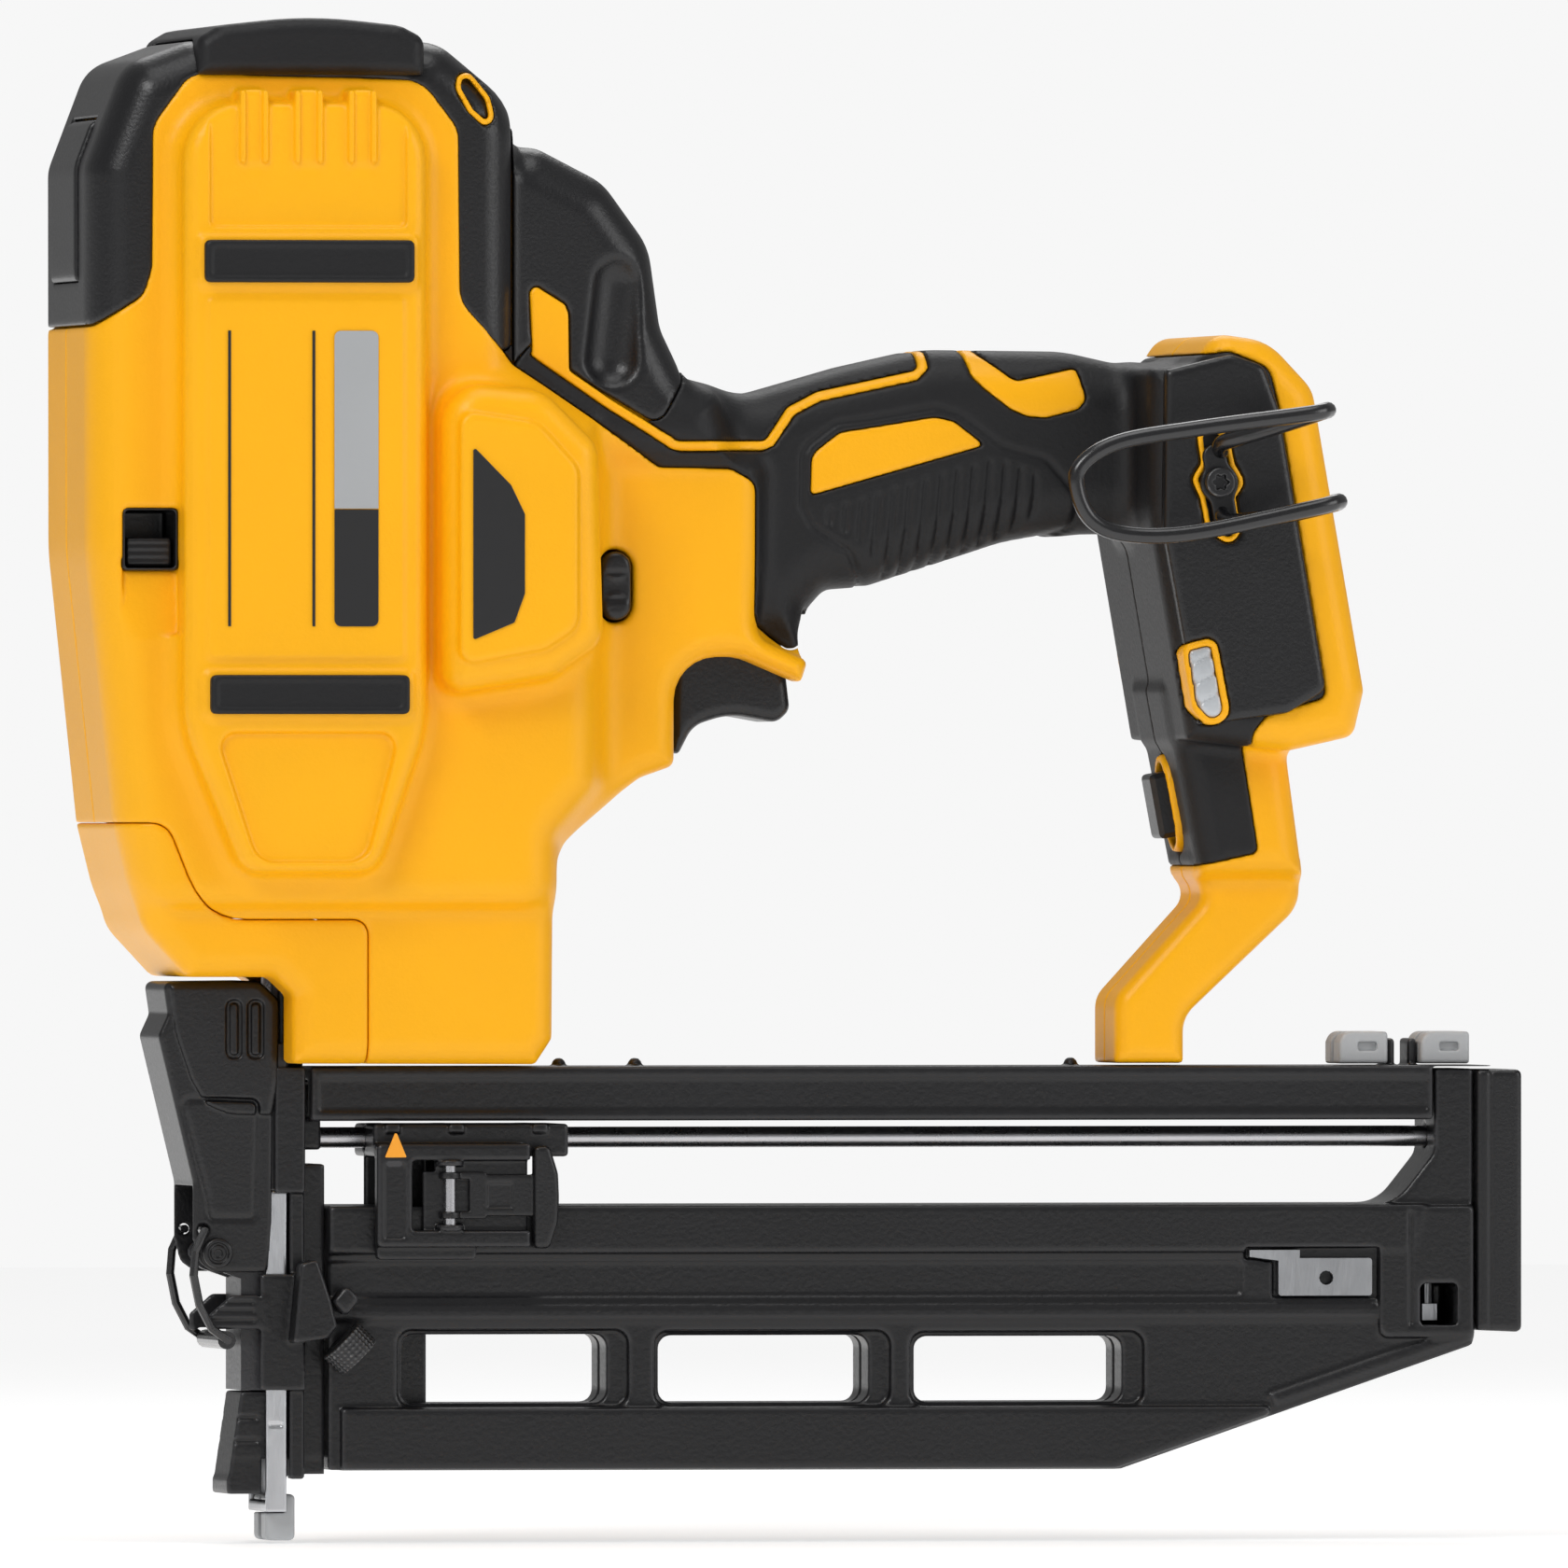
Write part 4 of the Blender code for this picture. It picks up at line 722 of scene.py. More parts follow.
def nose_body(f):
    shape = f.box(-0.5, 2.6, -12, 12, 12.8, 98.2, 0.5, f.half)
    for item in ((-2.6, 2.6, -9.8, 9.8, 17, 117.4), (-1, 12, -9.8, 9.8, 99.2, 117.4),
                 (-13.3, -2, -9.8, 9.8, 17, 30.9), (-13.3, -5.9, -9.8, 9.8, 9.7, 20),
                 (2, 7.3, -9, 9, 13.5, 78), (2, 7.3, -4, 4, 80.9, 87.6), (-6.8, 2.6, 11.2, 13.5, 31.2, 55.2),
                 (-0.5, 2.6, 11, 12.6, 31.2, 55.2), (-7, -5, 12, 13.5, 43.9, 50.9),
                 (-3.8, 2.6, 12.1, 13.3, 72, 98.1), (-11.2, -2, 6.5, 9.8, 91.8, 98.2)):
        shape = merge(shape, f.box(*item, 0.5, f.half), 0.4)
    trip_room = keep(keep(f.half - 12, 10.0 - f.half), keep(f.x + 0.8, keep(f.z - 99, 5 - f.z)))
    ear = f.outline([(-6.7, 50.9, 1), (-12.9, 50.9, 1.5), (-17.6, 46.8, 0.6), (-17.6, 43.3, 0.4),
                     (-16.1, 43.3), (-15.8, 43.9), (-6.7, 43.9)])
    ear = keep(ear, np.abs(f.half - 11.85) - 1.65, 0.6)
    for z in (45.6, 47.6, 49.4):
        ear = carve(ear, keep(np.abs(f.z - z) - 0.3, keep(f.x + 8.2, 13.2 - f.half)), 0.2)
    shape = merge(shape, ear, 0.3)
    shape = carve(shape, f.outline([(-15, 32), (-10.2, 32), (-12.9, 13.5), (-15, 11)]) + 0 * f.y, 0.4)
    bracket = f.slab([(-1, 41, 0.5), (0.6, 57.5, 1), (4, 58.4, 1), (6.8, 50, 1), (8.2, 44.4, 0.5),
                      (6.2, 42, 0.5)], -20.4, -13.0, 0.6)
    boss = [(7.2, 49.4, 1), (10.2, 53.2, 1.4), (13.4, 50.2, 1.4), (10.2, 46.4, 1)]
    bracket = merge(bracket, f.slab(boss, -19, -13.4, 1), 0.6)
    shape = merge(shape, bracket, 0.4)
    shape = carve(shape, trip_room)
    shape = carve(shape, f.box(-8, 8, -8.6, 8.6, 10, 17))
    shape = carve(shape, f.box(-4.6, -2.4, -1.8, 1.8, 5, 40))
    shape = carve(shape, f.box(-2.9, 9, -1, 1, 18, 80))
    for z in (20.6, 25.4):
        shape = carve(shape, keep(np.abs(f.z - z) - 0.35, keep(f.x + 7, 9.3 - f.half)), 0.2)
    shape = carve(shape, f.bar((-8, -12, 95), (-8, 12, 95), 1.6))
    return shape


def depth_wheel(f):
    lean = math.sqrt(0.5)
    dx, dy, dz = f.x - 9.0, f.y + 17.0, f.z - 42.1
    along = (dx - dz) * lean
    across = (dx + dz) * lean
    radius = np.hypot(across, dy + 0 * across)
    angle = np.arctan2(across, dy + 0 * across)
    knurl = 0.2 * np.cos(14 * angle + along * 3.2) * np.cos(14 * angle - along * 3.2)
    barrel = keep(radius - 5.1 - knurl, np.abs(along - 3.2) - 2.7, 0.6)
    neck = keep(radius - 3.2, np.abs(along - 1.5) - 1.2)
    shape = merge(barrel, neck)
    return carve(shape, keep(radius - 2.1, 5.2 - along), 0.3)


def tip(x0, z0, x1, z1, slot_low, slot_high, notch):
    def draw(f):
        shape = f.even(rect(x0, x1, z0, z1, 1.2, 1.2, 1, 1), 8, 0.9)
        shape = carve(shape, f.box(x0 - 3, x1 - 2.1, -10, 10, slot_low, slot_high, 0.4), 0.3)
        return carve(shape, f.box(x0 - 3, notch, -1.8, 1.8, z0 - 5, z1 + 5))
    return draw


def spare(x0):
    def draw(f):
        shape = f.even([(x0, 98.5, 0.6), (x0 + 10.4, 98.5, 0.6), (x0 + 10.4, 105.2, 0.8),
                        (x0 + 1, 105.2, 2.4), (x0, 103, 1)], 8, 0.8)
        shape = carve(shape, keep(f.box(x0 + 4, x0 + 8, -10, 10, 101.2, 103, 0.5), 6.6 - f.half), 0.3)
        return carve(shape, f.box(x0 - 1, x0 + 5.8, -1.8, 1.8, 90, 110))
    return draw


MAGAZINE = [
    (7.7, 14.6, 0.5), (174.7, 14.4, 1), (249.2, 40, 1), (249.2, 97.5, 0.5), (241, 97.5), (241, 80, 4),
    (232.6, 69.4, 9), (7.7, 69.4, 0.5),
]


def magazine_body(f):
    shape = f.even(MAGAZINE, 11.4, 0.6)
    upper = f.even([(7.7, 59.4, 0.5), (236.5, 59.4, 1), (239.5, 69.3, 1), (7.7, 69.3, 0.5)], 12.9, 0.8)
    shape = merge(shape, upper, 0.6)
    lower = f.even([(10.2, 14.7, 0.6), (173.4, 14.6, 1), (211, 27.4, 1), (10.2, 27.4, 0.6)], 12.9, 0.8)
    shape = merge(shape, lower, 0.6)
    rib = rect(7.7, 229, 45.6, 48.6, 0.4, 0, 0, 0.4)
    shape = merge(shape, f.even(rib, 12.1, 0.5), 0.8)
    tail = f.even(rect(229, 249.2, 41.5, 69, 2, 1, 1, 1), 12.9, 0.9)
    shape = merge(shape, keep(tail, f.outline(MAGAZINE)), 0.6)
    edge = f.even([(207, 27.2), (249.2, 41.2), (249.2, 44.4), (206, 29.8)], 12.2, 0.5)
    shape = merge(shape, edge, 0.6)
    for x0, x1, z1 in ((23.4, 66.4, 42.6), (77.4, 121.6, 42.3), (131.3, 175.1, 42)):
        shape = carve(shape, f.outline(rect(x0, x1, 28.4, z1, 2.6)) + 0 * f.y, 0.6)
        bevel = rect(x0 - 1.2, x1 + 4.4, 27.6, z1 + 1, 3)
        shape = carve(shape, keep(f.outline(bevel), 9.6 - f.half), 0.8)
    pocket = f.outline(rect(7, 200, 50.4, 57.6, 0, 1, 1, 0))
    shape = carve(shape, keep(pocket, 10.7 - f.half), 0.8)
    shape = carve(shape, f.box(0, 230, -1, 1, 18, 80))
    stop_room = f.outline([(200.6, 58, 0.4), (206.8, 57.2), (206.8, 49.8, 0.5), (229, 49.8, 0.5),
                           (229, 60.4, 0.5), (200.6, 60.4, 0.4)])
    shape = carve(shape, keep(stop_room, keep(f.y + 10.6, -f.y - 20)), 0.2)
    shape = carve(shape, f.box(237.8, 245.6, -20, 4.5, 44.1, 52.8, 1), 0.3)
    shape = carve(shape, f.bar((241.6, 0, 30), (241.6, 0, 60), 1.7))
    shape = carve(shape, f.bar((232, 0, ROD_Z), (246, 0, ROD_Z), 2.5))
    groove = f.box(235.4, 236.2, -20, -12.3, 44, 68)
    return carve(shape, groove, 0.3)


def magazine_rail(f):
    shape = f.even([(3.8, 86.9, 0.6), (240.5, 86.9, 0.6), (240.5, 97.9), (252.8, 97.9, 0.2),
                    (252.8, 98.2, 0.2), (3.8, 98.2, 0.8)], 12.9, 0.9)
    shape = carve(shape, f.box(0, 260, -9, 9, 80, 95.4, 1))
    band = f.outline(rect(5.6, 239.2, 88.8, 95.8, 0.6))
    shape = carve(shape, keep(band, 12.45 - f.half), 0.5)
    for x in (58, 74, 166):
        shape = merge(shape, f.bar((x, 0, 97), (x, 0, 98.4), 1.5), 0.4)
    for x0, x1 in ((232.2, 233.8), (236.6, 238.4)):
        shape = merge(shape, f.box(x0, x1, -5, 5, 95, 103.8, 0.6), 0.4)
    return shape


def end_cap(f):
    side = [(249.7, 43, 0.4), (259.3, 42.6, 1.2), (259.3, 97.3, 1.2), (249.7, 97.3, 0.4)]
    shape = f.even(side, 12.9, 1.2)
    shape = carve(shape, keep(np.abs(f.x - 252.6) - 0.3, 12.5 - f.half), 0.3)
    for z in (50, 90):
        shape = carve(shape, f.bar((262, 0, z), (258.2, 0, z), 3.0), 0.4)
    return shape


def spool_reach(f):
    """Distance from the spool's axis."""
    return np.hypot(f.x - SPOOL_X, f.y - SPOOL_Y)


def pusher(f):
    shape = f.slab([(17, 60.8, 1), (49.2, 60.8, 0.4), (49.2, 64.2, 0.4), (24.4, 64.2, 0.8), (24.4, 78.8, 0.8),
                    (49.2, 78.8, 0.4), (49.2, 82.2, 0.4), (17, 82.2, 1)], -17.4, -13.6, 0.6)
    shape = carve(shape, keep(f.outline(rect(18.6, 22.8, 62.6, 78, 0.6)), f.y + 17.0), 0.3)
    shape = merge(shape, f.box(17, 58, -12.5, 12.5, 79.5, 86.3, 0.8), 0.4)
    shape = merge(shape, f.box(17, 48, -14.5, -12, 79.5, 82.2, 0.3), 0.4)
    shape = merge(shape, f.box(17, 30, -0.7, 0.7, 20, 80.5, 0.2), 0.3)
    for x in (21, 34.4, 52):
        shape = merge(shape, f.box(x - 1.6, x + 1.6, -13.1, 13.1, 84.4, 86.2, 0.4), 0.3)
    back = carve(f.box(27, 49, -14.9, -13.4, 62, 80, 0.4), f.box(24, 29.5, -20, -10, 76.4, 82))
    shape = merge(shape, back, 0.3)
    shape = merge(shape, f.slab(rect(17, 38, 58.2, 61.4, 1), -16.4, -13.4, 0.5), 0.3)
    for z in (64.8, 78.2):
        flange = keep(spool_reach(f) - 2.9, np.abs(f.z - z) - 0.6, 0.2)
        shape = merge(shape, flange)
    shape = merge(shape, f.box(30, 50, 10.4, 12.4, 70.2, 81, 0.5), 0.3)
    shape = merge(shape, f.bar((38, 2.6, 75), (38, 11, 75), 1.5))
    return carve(shape, f.bar((0, 0, ROD_Z), (80, 0, ROD_Z), 2.6))


def pusher_latch(f):
    reach = spool_reach(f)
    pad = [(49.9, 60.5, 1), (53.2, 60.5, 1.4), (55.0, 66, 6), (55.2, 71, 8), (55.0, 76, 6), (53.2, 81.8, 1.4),
           (49.9, 81.8, 1)]
    shape = f.slab(pad, -18, -13.7, 1.1)
    for z in range(63, 81, 2):
        shape = carve(shape, f.bar((56.2, -20, z), (56.2, -10, z), 0.9), 0.3)
    web = f.box(36.5, 51, -16.4, -15.0, 67.2, 75.8, 0.4)
    web = carve(web, keep(np.abs(f.x - 42.8) - 2.6, keep(np.abs(f.z - 71.5) - 2.6, f.y + 16.0)), 0.3)
    shape = merge(shape, web, 0.6)
    for z in (67.4, 75.6):
        ear = keep(keep(reach - 2.2, np.abs(f.z - z) - 0.7), 1.45 - reach)
        arm = f.box(34, 40, -16.4, -15.0, z - 0.7, z + 0.7)
        shape = merge(merge(shape, arm), ear)
    return shape


def spool(f):
    return keep(spool_reach(f) - 1.3, np.abs(f.z - 71.5) - 9.6, 0.3)


def contact_trip(low, high):
    """The two spring-steel arms of the contact trip between two heights, with the foot across the bottom."""
    def draw(f):
        arms = keep(keep(np.abs(f.half - 10.95) - 0.75, np.abs(f.x + 3.25) - 2.15, 0.3),
                    np.abs(f.z - (low + high) / 2) - (high - low) / 2, 0.2)
        for z in (24, 40):
            ridge = keep(keep(np.abs(f.z - z) - 0.3, np.abs(f.x + 3.4) - 1.2), 11.5 - f.half)
            arms = carve(arms, ridge, 0.2)
        if low < 10:
            arms = merge(arms, f.box(-5.4, -1.1, -11.7, 11.7, 6, 8, 0.3))
            return carve(arms, f.box(-5, -1.6, -1.8, 1.8, 5, 9))
        tab = keep(np.abs(f.half - 10.95) - 0.75, np.abs(f.x - 0.5) - 2.1)
        return merge(arms, keep(tab, np.abs(f.z - 102.2) - 0.8))
    return draw


def latch_pin(f):
    reach = np.hypot(f.x + 16, f.z - 59.6)
    head = keep(keep(reach - 3.1, f.half - 15.3, 0.6), 14.25 - f.half)
    shape = merge(keep(reach - 1.5, f.half - 15), head)
    shape = carve(shape, keep(np.abs(reach - 1.9) - 0.3, 14.9 - f.half))
    return carve(shape, keep(reach - 0.9, 14.8 - f.half))


def catmull(points, steps):
    """A smooth run through the given points."""
    points = [Vector(p) for p in points]
    ends = [points[0] * 2 - points[1]] + points + [points[-1] * 2 - points[-2]]
    path = []
    for a, b, c, d in zip(ends, ends[1:], ends[2:], ends[3:]):
        for k in range(steps):
            t = k / steps
            path.append(0.5 * (2 * b + (c - a) * t + (2 * a - 5 * b + 4 * c - d) * t * t
                               + (3 * b - a - 3 * c + d) * t ** 3))
    return path + [points[-1]]


def tube(name, points, radius, steps=8):
    """A closed round wire along a smooth run."""
    curve = bpy.data.curves.new(name, "CURVE")
    curve.dimensions = "3D"
    curve.bevel_depth = radius * MM
    curve.bevel_resolution = 5
    curve.use_fill_caps = True
    path = catmull(points, steps)
    spline = curve.splines.new("POLY")
    spline.points.add(len(path) - 1)
    for point, place in zip(spline.points, path):
        point.co = (*(place * MM), 1)
    holder = placed(name, curve)
    bpy.context.view_layer.update()
    mesh = bpy.data.meshes.new_from_object(holder.evaluated_get(bpy.context.evaluated_depsgraph_get()))
    bpy.data.objects.remove(holder)
    bpy.data.curves.remove(curve)
    mesh.name = name
    for face in mesh.polygons:
        face.use_smooth = len(face.vertices) == 4
    return placed(name, mesh)


HOOK_SEAT = -38.2
HOOK_PATH = [
    (190.6, HOOK_SEAT, 225.2), (190.2, -41.5, 227.2), (194, -46, 228.6), (202, -52.5, 231.3),
    (208.2, -58.5, 233.6), (208.2, -62.8, 233.9), (203, -65, 233), (180, -66, 230), (164, -66, 227.2),
    (156.2, -66, 222.5), (155.4, -66, 217.2), (158.6, -66, 211), (166, -66, 208.2), (180, -66, 208.6),
    (204.6, -65, 213.6), (210.4, -62.8, 215), (210.6, -58.5, 214.6), (203, -52.5, 212.6), (196, -46, 211.4),
    (191.6, -41.5, 211.2), (190.6, HOOK_SEAT, 213.2),
]
SLOT_LEAN = (-0.1805, 0.9836)


def hook_plate(f):
    """The clamp that the hook's wire ends are welded to, leaning with the foot."""
    up = (f.x - 190.4) * SLOT_LEAN[0] + (f.z - 217.9) * SLOT_LEAN[1]
    across = (f.x - 190.4) * SLOT_LEAN[1] - (f.z - 217.9) * SLOT_LEAN[0]
    plate = np.hypot(np.maximum(np.abs(up) - 6.8, 0), across) - 2.5
    hub = np.hypot(up - 1.2, across) - 4.0
    shape = keep(merge(plate, hub, 1), np.abs(f.y - HOOK_SEAT) - 1.5, 0.6)
    return carve(shape, np.hypot(f.x - SCREW_X, f.z - SCREW_Z) - 2.15 + 0 * f.y, 0.3)


def hook_screw(f):
    reach = np.hypot(f.x - SCREW_X, f.z - SCREW_Z)
    head = keep(keep(reach - 3.1, f.y + 39.9, 0.5), -(f.y + 42.3), 0.6)
    shape = merge(head, keep(keep(reach - 1.7, f.y + 31), -(f.y + 42)))
    angle = np.arctan2(f.z - SCREW_Z, f.x - SCREW_X)
    lobes = reach - 1.5 - 0.25 * np.cos(6 * angle)
    return carve(shape, keep(lobes, f.y + 40.7), 0.2)


LABEL_THICK = 0.22


def plate_piece(name, corners, face, body, finish, slot, thick=LABEL_THICK):
    """A thin printed or stuck-on plate standing at y = face."""
    outline = rounded(corners)
    mesh = bpy.data.meshes.new(name)
    work = bmesh.new()
    back, front = ([work.verts.new((x * MM, y * MM, z * MM)) for x, z in outline]
                   for y in (face, face - thick))
    work.faces.new(back)
    work.faces.new(front[::-1])
    for i in range(len(outline)):
        j = (i + 1) % len(outline)
        work.faces.new((back[i], front[i], front[j], back[j]))
    bmesh.ops.recalc_face_normals(work, faces=work.faces)
    work.to_mesh(mesh)
    work.free()
    made = placed(name, mesh)
    bevel = made.modifiers.new("soft_edge", "BEVEL")
    bevel.width = 0.00007
    bevel.segments = 2
    return dress(made, finish, body, slot=slot)


# Name, the corners of its box, its step as a share of the small step, drawing, finish, body, and the
# CAD node that it stands for or, for a new piece, its slot.
MOULDINGS = [
    ("top_bumper_skin", (-24, -37, 296), (24.4, 37, 315.6), 1.2, top_bumper, "rubber", "tool", "top_bumper"),
    ("trigger_skin", (79, -11, 162), (106, 11, 189), 1, trigger, "black", "trigger", "trigger"),
    ("lock_off_skin", (59, -25, 187), (73, 23, 208.6), 0.8, lock_button, "black", "lock_off_button",
     "lock_off_button"),
    ("stall_lever_skin", (-38, -31, 201), (-28, -20.8, 213), 0.7, stall_lever, "black", "stall_lever",
     "stall_lever"),
    ("window_liner", (-39.2, -33.2, 200.4), (-26.8, -16.8, 214.2), 0.7, window_liner, "black", "tool",
     "black_plastic"),
    ("latch_lever_skin", (-29, -14.2, 55), (-2.4, 14.2, 116.4), 1, latch_lever, "black", "latch_lever",
     "latch_lever"),
    ("nose_body_skin", (-17.8, -20.6, 9.4), (13.8, 13.6, 117.6), 1, nose_body, "cast", "tool", "nose_body"),
    ("depth_wheel_skin", (4.4, -22.6, 33), (18.4, -11.4, 47.6), 0.5, depth_wheel, "dark_steel",
     "depth_wheel", "depth_wheel"),
    ("no_mar_tip_skin", (-5, -8.2, 0), (1.4, 8.2, 9.8), 0.6, tip(-4.9, 0, 1.3, 9.6, 5.7, 8.3, -2.1), "grey",
     "contact_trip", "no_mar_tip"),
    ("spare_tip_front_skin", (221.4, -8.2, 98.4), (231.9, 8.2, 105.3), 0.6, spare(221.4), "grey", "tool",
     "spare_tip_front"),
    ("spare_tip_rear_skin", (238.7, -8.2, 98.4), (249.2, 8.2, 105.3), 0.6, spare(238.7), "grey", "tool",
     "spare_tip_rear"),
    ("magazine_body_skin", (7.6, -13, 14.2), (249.4, 13, 97.6), 1.25, magazine_body, "cast", "tool",
     "magazine_body"),
    ("magazine_rail_skin", (3.6, -13, 86.8), (253, 13, 104), 1.25, magazine_rail, "cast", "tool",
     "magazine_rail"),
    ("end_cap_skin", (249.6, -13, 42.5), (259.5, 13, 97.4), 1, end_cap, "black", "tool", "end_cap"),
    ("pusher_skin", (16.8, -17.6, 19.8), (58.2, 13.2, 86.4), 0.9, pusher, "cast", "pusher", "pusher"),
    ("pusher_latch_skin", (30, -18.2, 60.2), (55.4, -13.4, 82), 0.7, pusher_latch, "black", "pusher_latch",
     "pusher_latch"),
]
FITTINGS = [
    ("hook_plate", (184, -40, 205), (196, -36.4, 231), 0.7, hook_plate, "black", "tool", "black_steel"),
    ("hook_screw_skin", (186.6, -42.6, 215.8), (193.4, -30.8, 222.6), 0.5, hook_screw, "dark_steel", "tool",
     "hook_screw"),
    ("latch_pin_skin", (-19.4, -15.4, 56.2), (-12.6, 15.4, 63), 0.5, latch_pin, "black", "nose_door",
     "latch_pin"),
    ("contact_trip_skin", (-5.6, -11.9, 6), (-0.9, 11.9, 72.5), 0.6, contact_trip(6, 72.4), "zinc",
     "contact_trip", "contact_trip"),
    # Painted shade: above z 72.5 the trip takes the dark black-oxide finish, standing in for the shade it
    # lies in between the latch lever and the nose plate.
    ("contact_trip_top", (-5.6, -11.9, 72.4), (2.8, 11.9, 103.2), 0.6, contact_trip(72.5, 103),
     "dark_steel", "contact_trip", "black_steel"),
    ("spool_shaft", (31, -17.1, 61.6), (34, -14.1, 81.4), 0.5, spool, "steel", "pusher", "steel"),
]


def sculpt_all(pieces, step):
    """Makes every piece of a table."""
    for name, low, high, share, draw, finish, body, stands_for in pieces:
        if stands_for in NODES:
            sculpt(name, low, high, step * share, draw, finish, body, stands_for)
        else:
            sculpt(name, low, high, step * share, draw, finish, body, slot=stands_for)


def make_bumpers(step):
    """The rubber bumpers on both sides."""
    for level, strip in (("upper", (-23.4, 20.4, 260.1, 268.9)), ("lower", (-22.2, 19.4, 171.1, 179.2))):
        low, high = (strip[0], -45, strip[2]), (strip[1], -42, strip[3])
        left = sculpt(f"{level}_bumper_left_skin", low, high, step, side_bumper(*strip), "rubber", "tool",
                      f"{level}_bumper_left")
        dress(mirrored(left, f"{level}_bumper_right_skin"), "rubber", "tool", f"{level}_bumper_right")


def rail_rod_size():
    """Both ends and the radius of the CAD's rail rod, mm."""
    corners = [(NODES["rail_rod"].matrix_world @ Vector(c)) / MM for c in NODES["rail_rod"].bound_box]
    xs, zs = [c.x for c in corners], [c.z for c in corners]
    return min(xs), max(xs), (max(zs) - min(zs)) / 2


def spring(name, x, y, low, high, radius, wire, turns):
    """A round-wire compression spring."""
    count = turns * TURN_STEPS
    points = []
    for k in range(count + 1):
        angle = 2 * math.pi * k / TURN_STEPS
        points.append((x + radius * math.cos(angle), y + radius * math.sin(angle),
                       low + wire + (high - low - 2 * wire) * k / count))
    piece = dress(tube(name + "_skin", points, wire, 1), "steel", "tool", name)
    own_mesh(piece)


def make_wires():
    """The rail rod, the springs and the belt hook's wire."""
    start, end, radius = rail_rod_size()
    rod = [(x, 0, ROD_Z) for x in (start, (start + end) / 2, end)]
    dress(tube("rail_rod_skin", rod, radius), "steel", "tool", "rail_rod")
    for side, y in (("left", -16), ("right", 16)):
        spring(f"return_spring_{side}", DRIVE_X, y, 139.6, 267.4, 4.6, 0.7, 12)
    spring("trip_spring", 1.2, -11.15, 103.3, 116.1, 0.85, 0.25, 6)
    dress(tube("belt_hook_wire", HOOK_PATH, 1.72), "wire", "tool", "belt_hook")


def make_labels():
    """Blank labels on both sides of the body, and the pusher's pointer."""
    wedge = [(32.3, 186.4, 0.4), (40.9, 190, 0.6), (43.1, 196, 1), (43.1, 212.4, 1), (40.2, 218.4, 0.6),
             (32.3, 226.4, 0.4)]
    labels = [("strip", rect(3.8, 13.0, 213.5, 250.2, 0, 0, 1.4, 1.4), 42.72, "silver", "grey_plastic"),
              ("block", rect(3.8, 13.0, 189.2, 213.3, 1.4, 1.4, 0, 0), 42.72, "print", "black_plastic"),
              ("line_0", rect(-18.4, -17.8, 189.2, 250.2), 42.68, "print", "black_plastic"),
              ("line_1", rect(-0.8, -0.2, 189.2, 250.2), 42.68, "print", "black_plastic"),
              ("wedge", wedge, 45.95, "print", "black_plastic")]
    for side in ("left", "right"):
        for name, corners, depth, finish, slot in labels:
            face = -depth if side == "left" else depth + LABEL_THICK
            plate_piece(f"label_{name}_{side}", corners, face, "tool", finish, slot)
    mark = [(18.5, 79.4, 0.2), (23.1, 79.4, 0.2), (20.8, 84.9, 0.3)]
    plate_piece("pusher_mark", mark, -17.58, "pusher", "orange", "yellow_plastic", 0.25)


SMALL_STEP = 0.42
make_bumpers(SMALL_STEP)
sculpt_all(MOULDINGS, SMALL_STEP)
make_wires()
sculpt_all(FITTINGS, SMALL_STEP)
make_labels()


# --- Stage ---

FLOOR_SIZE = 9  # metres
FLOOR_Z = -0.0006
GLOW_NEAR, GLOW_FAR = 0.42, 0.66  # the floor's own light, which takes the place of the lamps' far off
SKY_LIGHT, SKY_SEEN = 0.27, 0.93  # the world's strength on things, and as the camera sees it
MIDDLE = (0.1, 0, 0.16)
LAMPS = (("key", (-0.9, -1.2, 1.3), 0.7, 13), ("fill", (1.4, -1.0, 0.7), 0.9, 6.5),
         ("back", (0.3, 1.4, 1.5), 1.0, 8), ("top", (0.1, -0.3, 1.7), 1.0, 7))


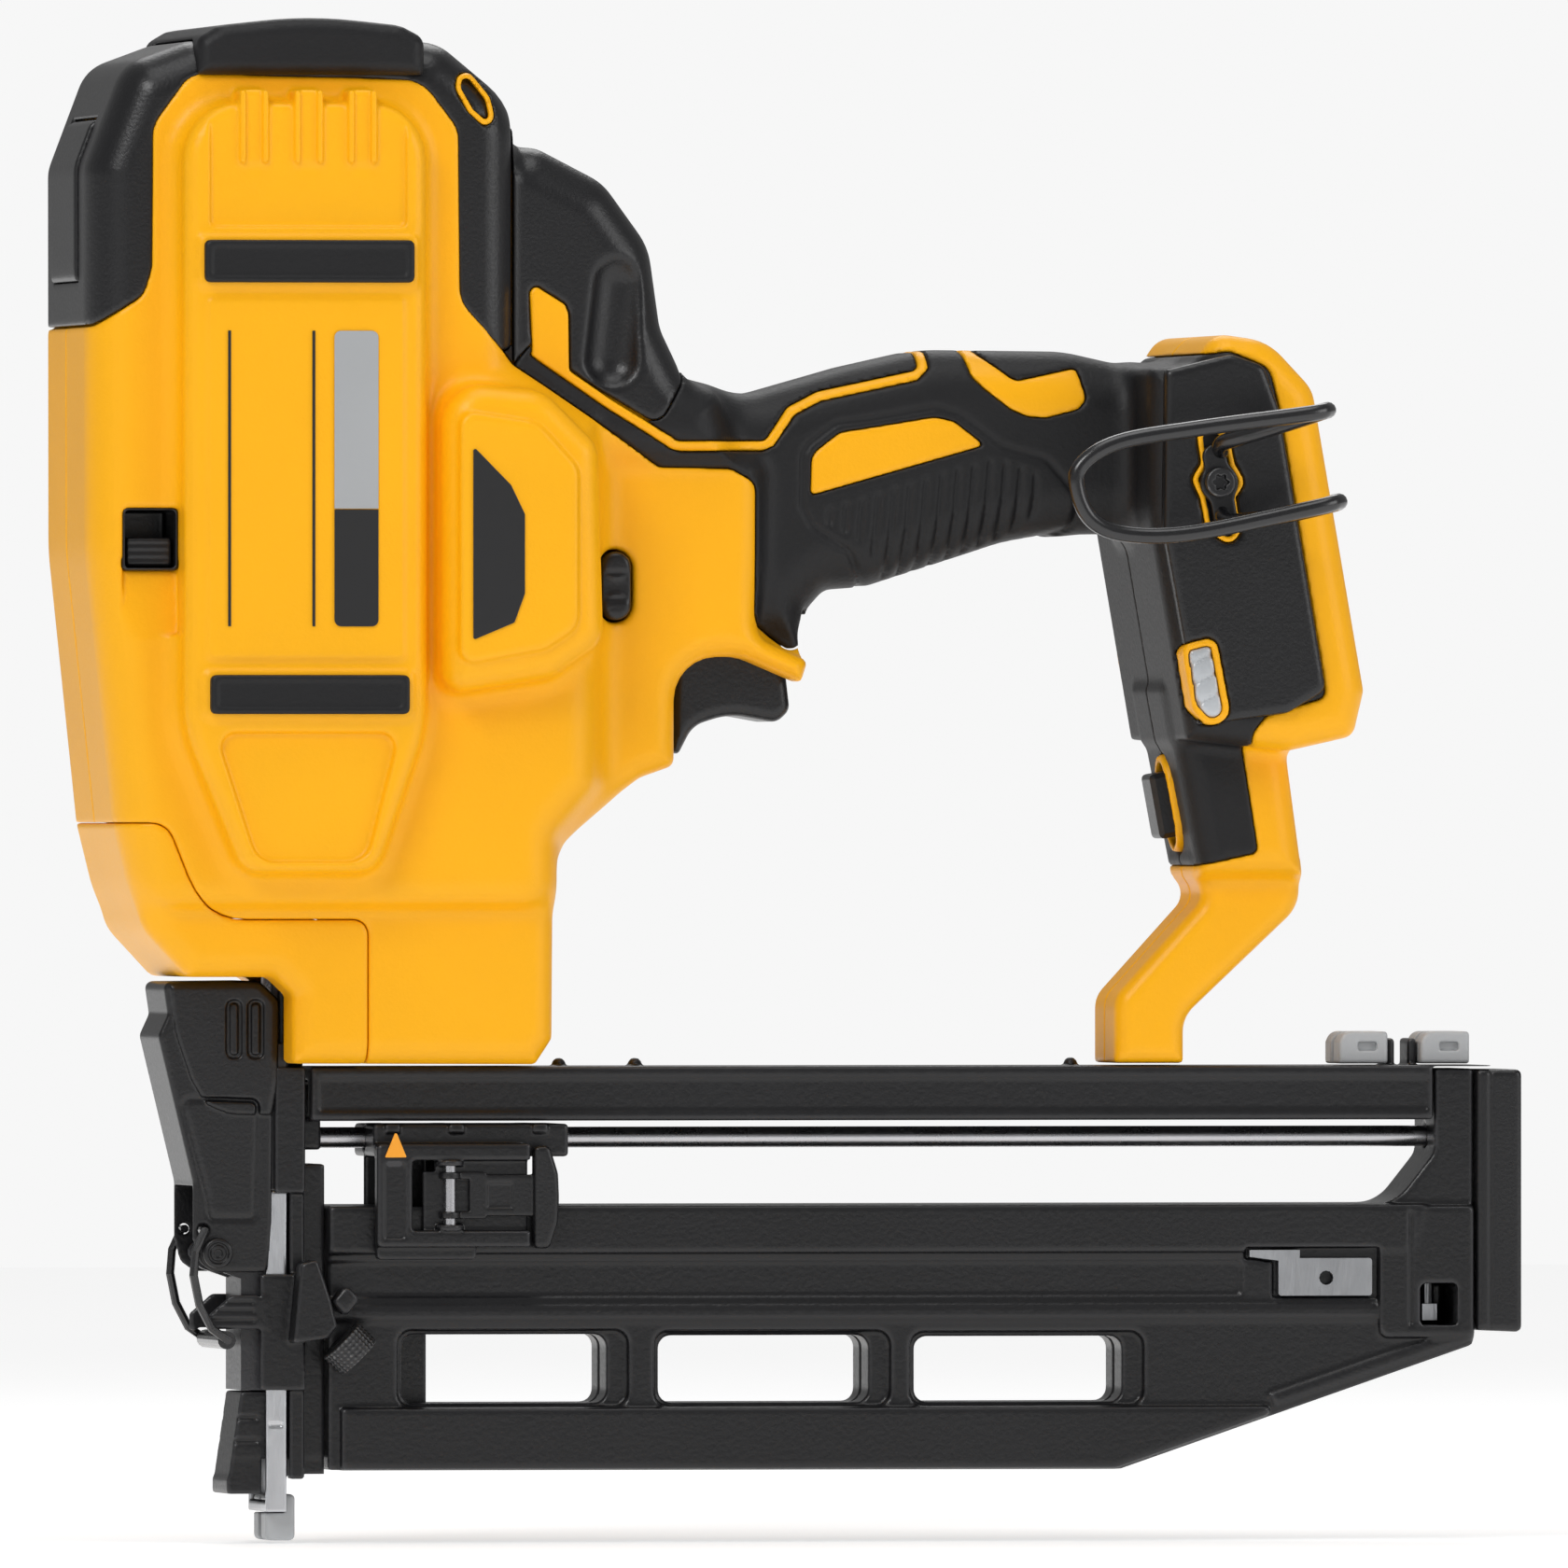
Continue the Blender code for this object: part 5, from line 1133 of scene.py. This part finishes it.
def make_stage():
    """A pale floor as light as its background, and soft studio light."""
    bpy.ops.mesh.primitive_plane_add(size=1)
    floor = bpy.context.object
    floor.name = "floor"
    floor.scale = (FLOOR_SIZE, FLOOR_SIZE, 1)
    floor.location = (0, 0, FLOOR_Z)
    pale = material("pale_floor", (0.86, 0.86, 0.86), 0.75, grain=60, bump=0.01, vary=0.01)
    shader = pale.node_tree.nodes["Principled BSDF"]
    fill(shader, Emission_Color=(1, 1, 1, 1))
    nodes, links = pale.node_tree.nodes, pale.node_tree.links
    place = nodes.new("ShaderNodeNewGeometry")
    reach = nodes.new("ShaderNodeVectorMath")
    reach.operation = "LENGTH"
    glow = fill(nodes.new("ShaderNodeMapRange"), From_Min=0.3, From_Max=3.2, To_Min=GLOW_NEAR,
                To_Max=GLOW_FAR)
    glow.interpolation_type = "SMOOTHSTEP"
    links.new(place.outputs["Position"], reach.inputs[0])
    links.new(reach.outputs["Value"], glow.inputs["Value"])
    links.new(glow.outputs["Result"], shader.inputs["Emission Strength"])
    floor.data.materials.append(pale)
    world = bpy.data.worlds.new("studio")
    bpy.context.scene.world = world
    world.use_nodes = True
    nodes, links = world.node_tree.nodes, world.node_tree.links
    path = nodes.new("ShaderNodeLightPath")
    level = fill(nodes.new("ShaderNodeMapRange"), To_Min=SKY_LIGHT, To_Max=SKY_SEEN)
    links.new(path.outputs["Is Camera Ray"], level.inputs["Value"])
    fill(nodes["Background"], Color=(1, 1, 1, 1))
    links.new(level.outputs["Result"], nodes["Background"].inputs["Strength"])
    bpy.context.scene.view_settings.view_transform = "Standard"
    for name, place, size, power in LAMPS:
        light = bpy.data.lights.new(name, "AREA")
        light.size = size
        light.energy = power
        lamp = placed(name, light)
        lamp.location = place
        lamp.rotation_mode = "QUATERNION"
        lamp.rotation_quaternion = (Vector(MIDDLE) - Vector(place)).to_track_quat("-Z", "Y")


AZIMUTH = math.radians(-10)
DISTANCE, VIEW_WIDTH = 8000.0, 325.1
SENSOR = 36


def make_camera():
    """The photo's view: from a little to the nose's side of square on, level with the tool's middle."""
    right = Vector((math.cos(AZIMUTH), math.sin(AZIMUTH), 0))
    ahead = Vector((-math.sin(AZIMUTH), math.cos(AZIMUTH), 0))
    lens = bpy.data.cameras.new("camera")
    lens.sensor_width = SENSOR
    lens.lens = SENSOR * DISTANCE / VIEW_WIDTH
    lens.clip_end = 100
    camera = placed("camera", lens)
    camera.location = (right * 103.9 + Vector((0, 0, 156.7)) - ahead * DISTANCE) * MM
    camera.rotation_mode = "QUATERNION"
    camera.rotation_quaternion = ahead.to_track_quat("-Z", "Y")
    bpy.context.scene.camera = camera


make_stage()
make_camera()
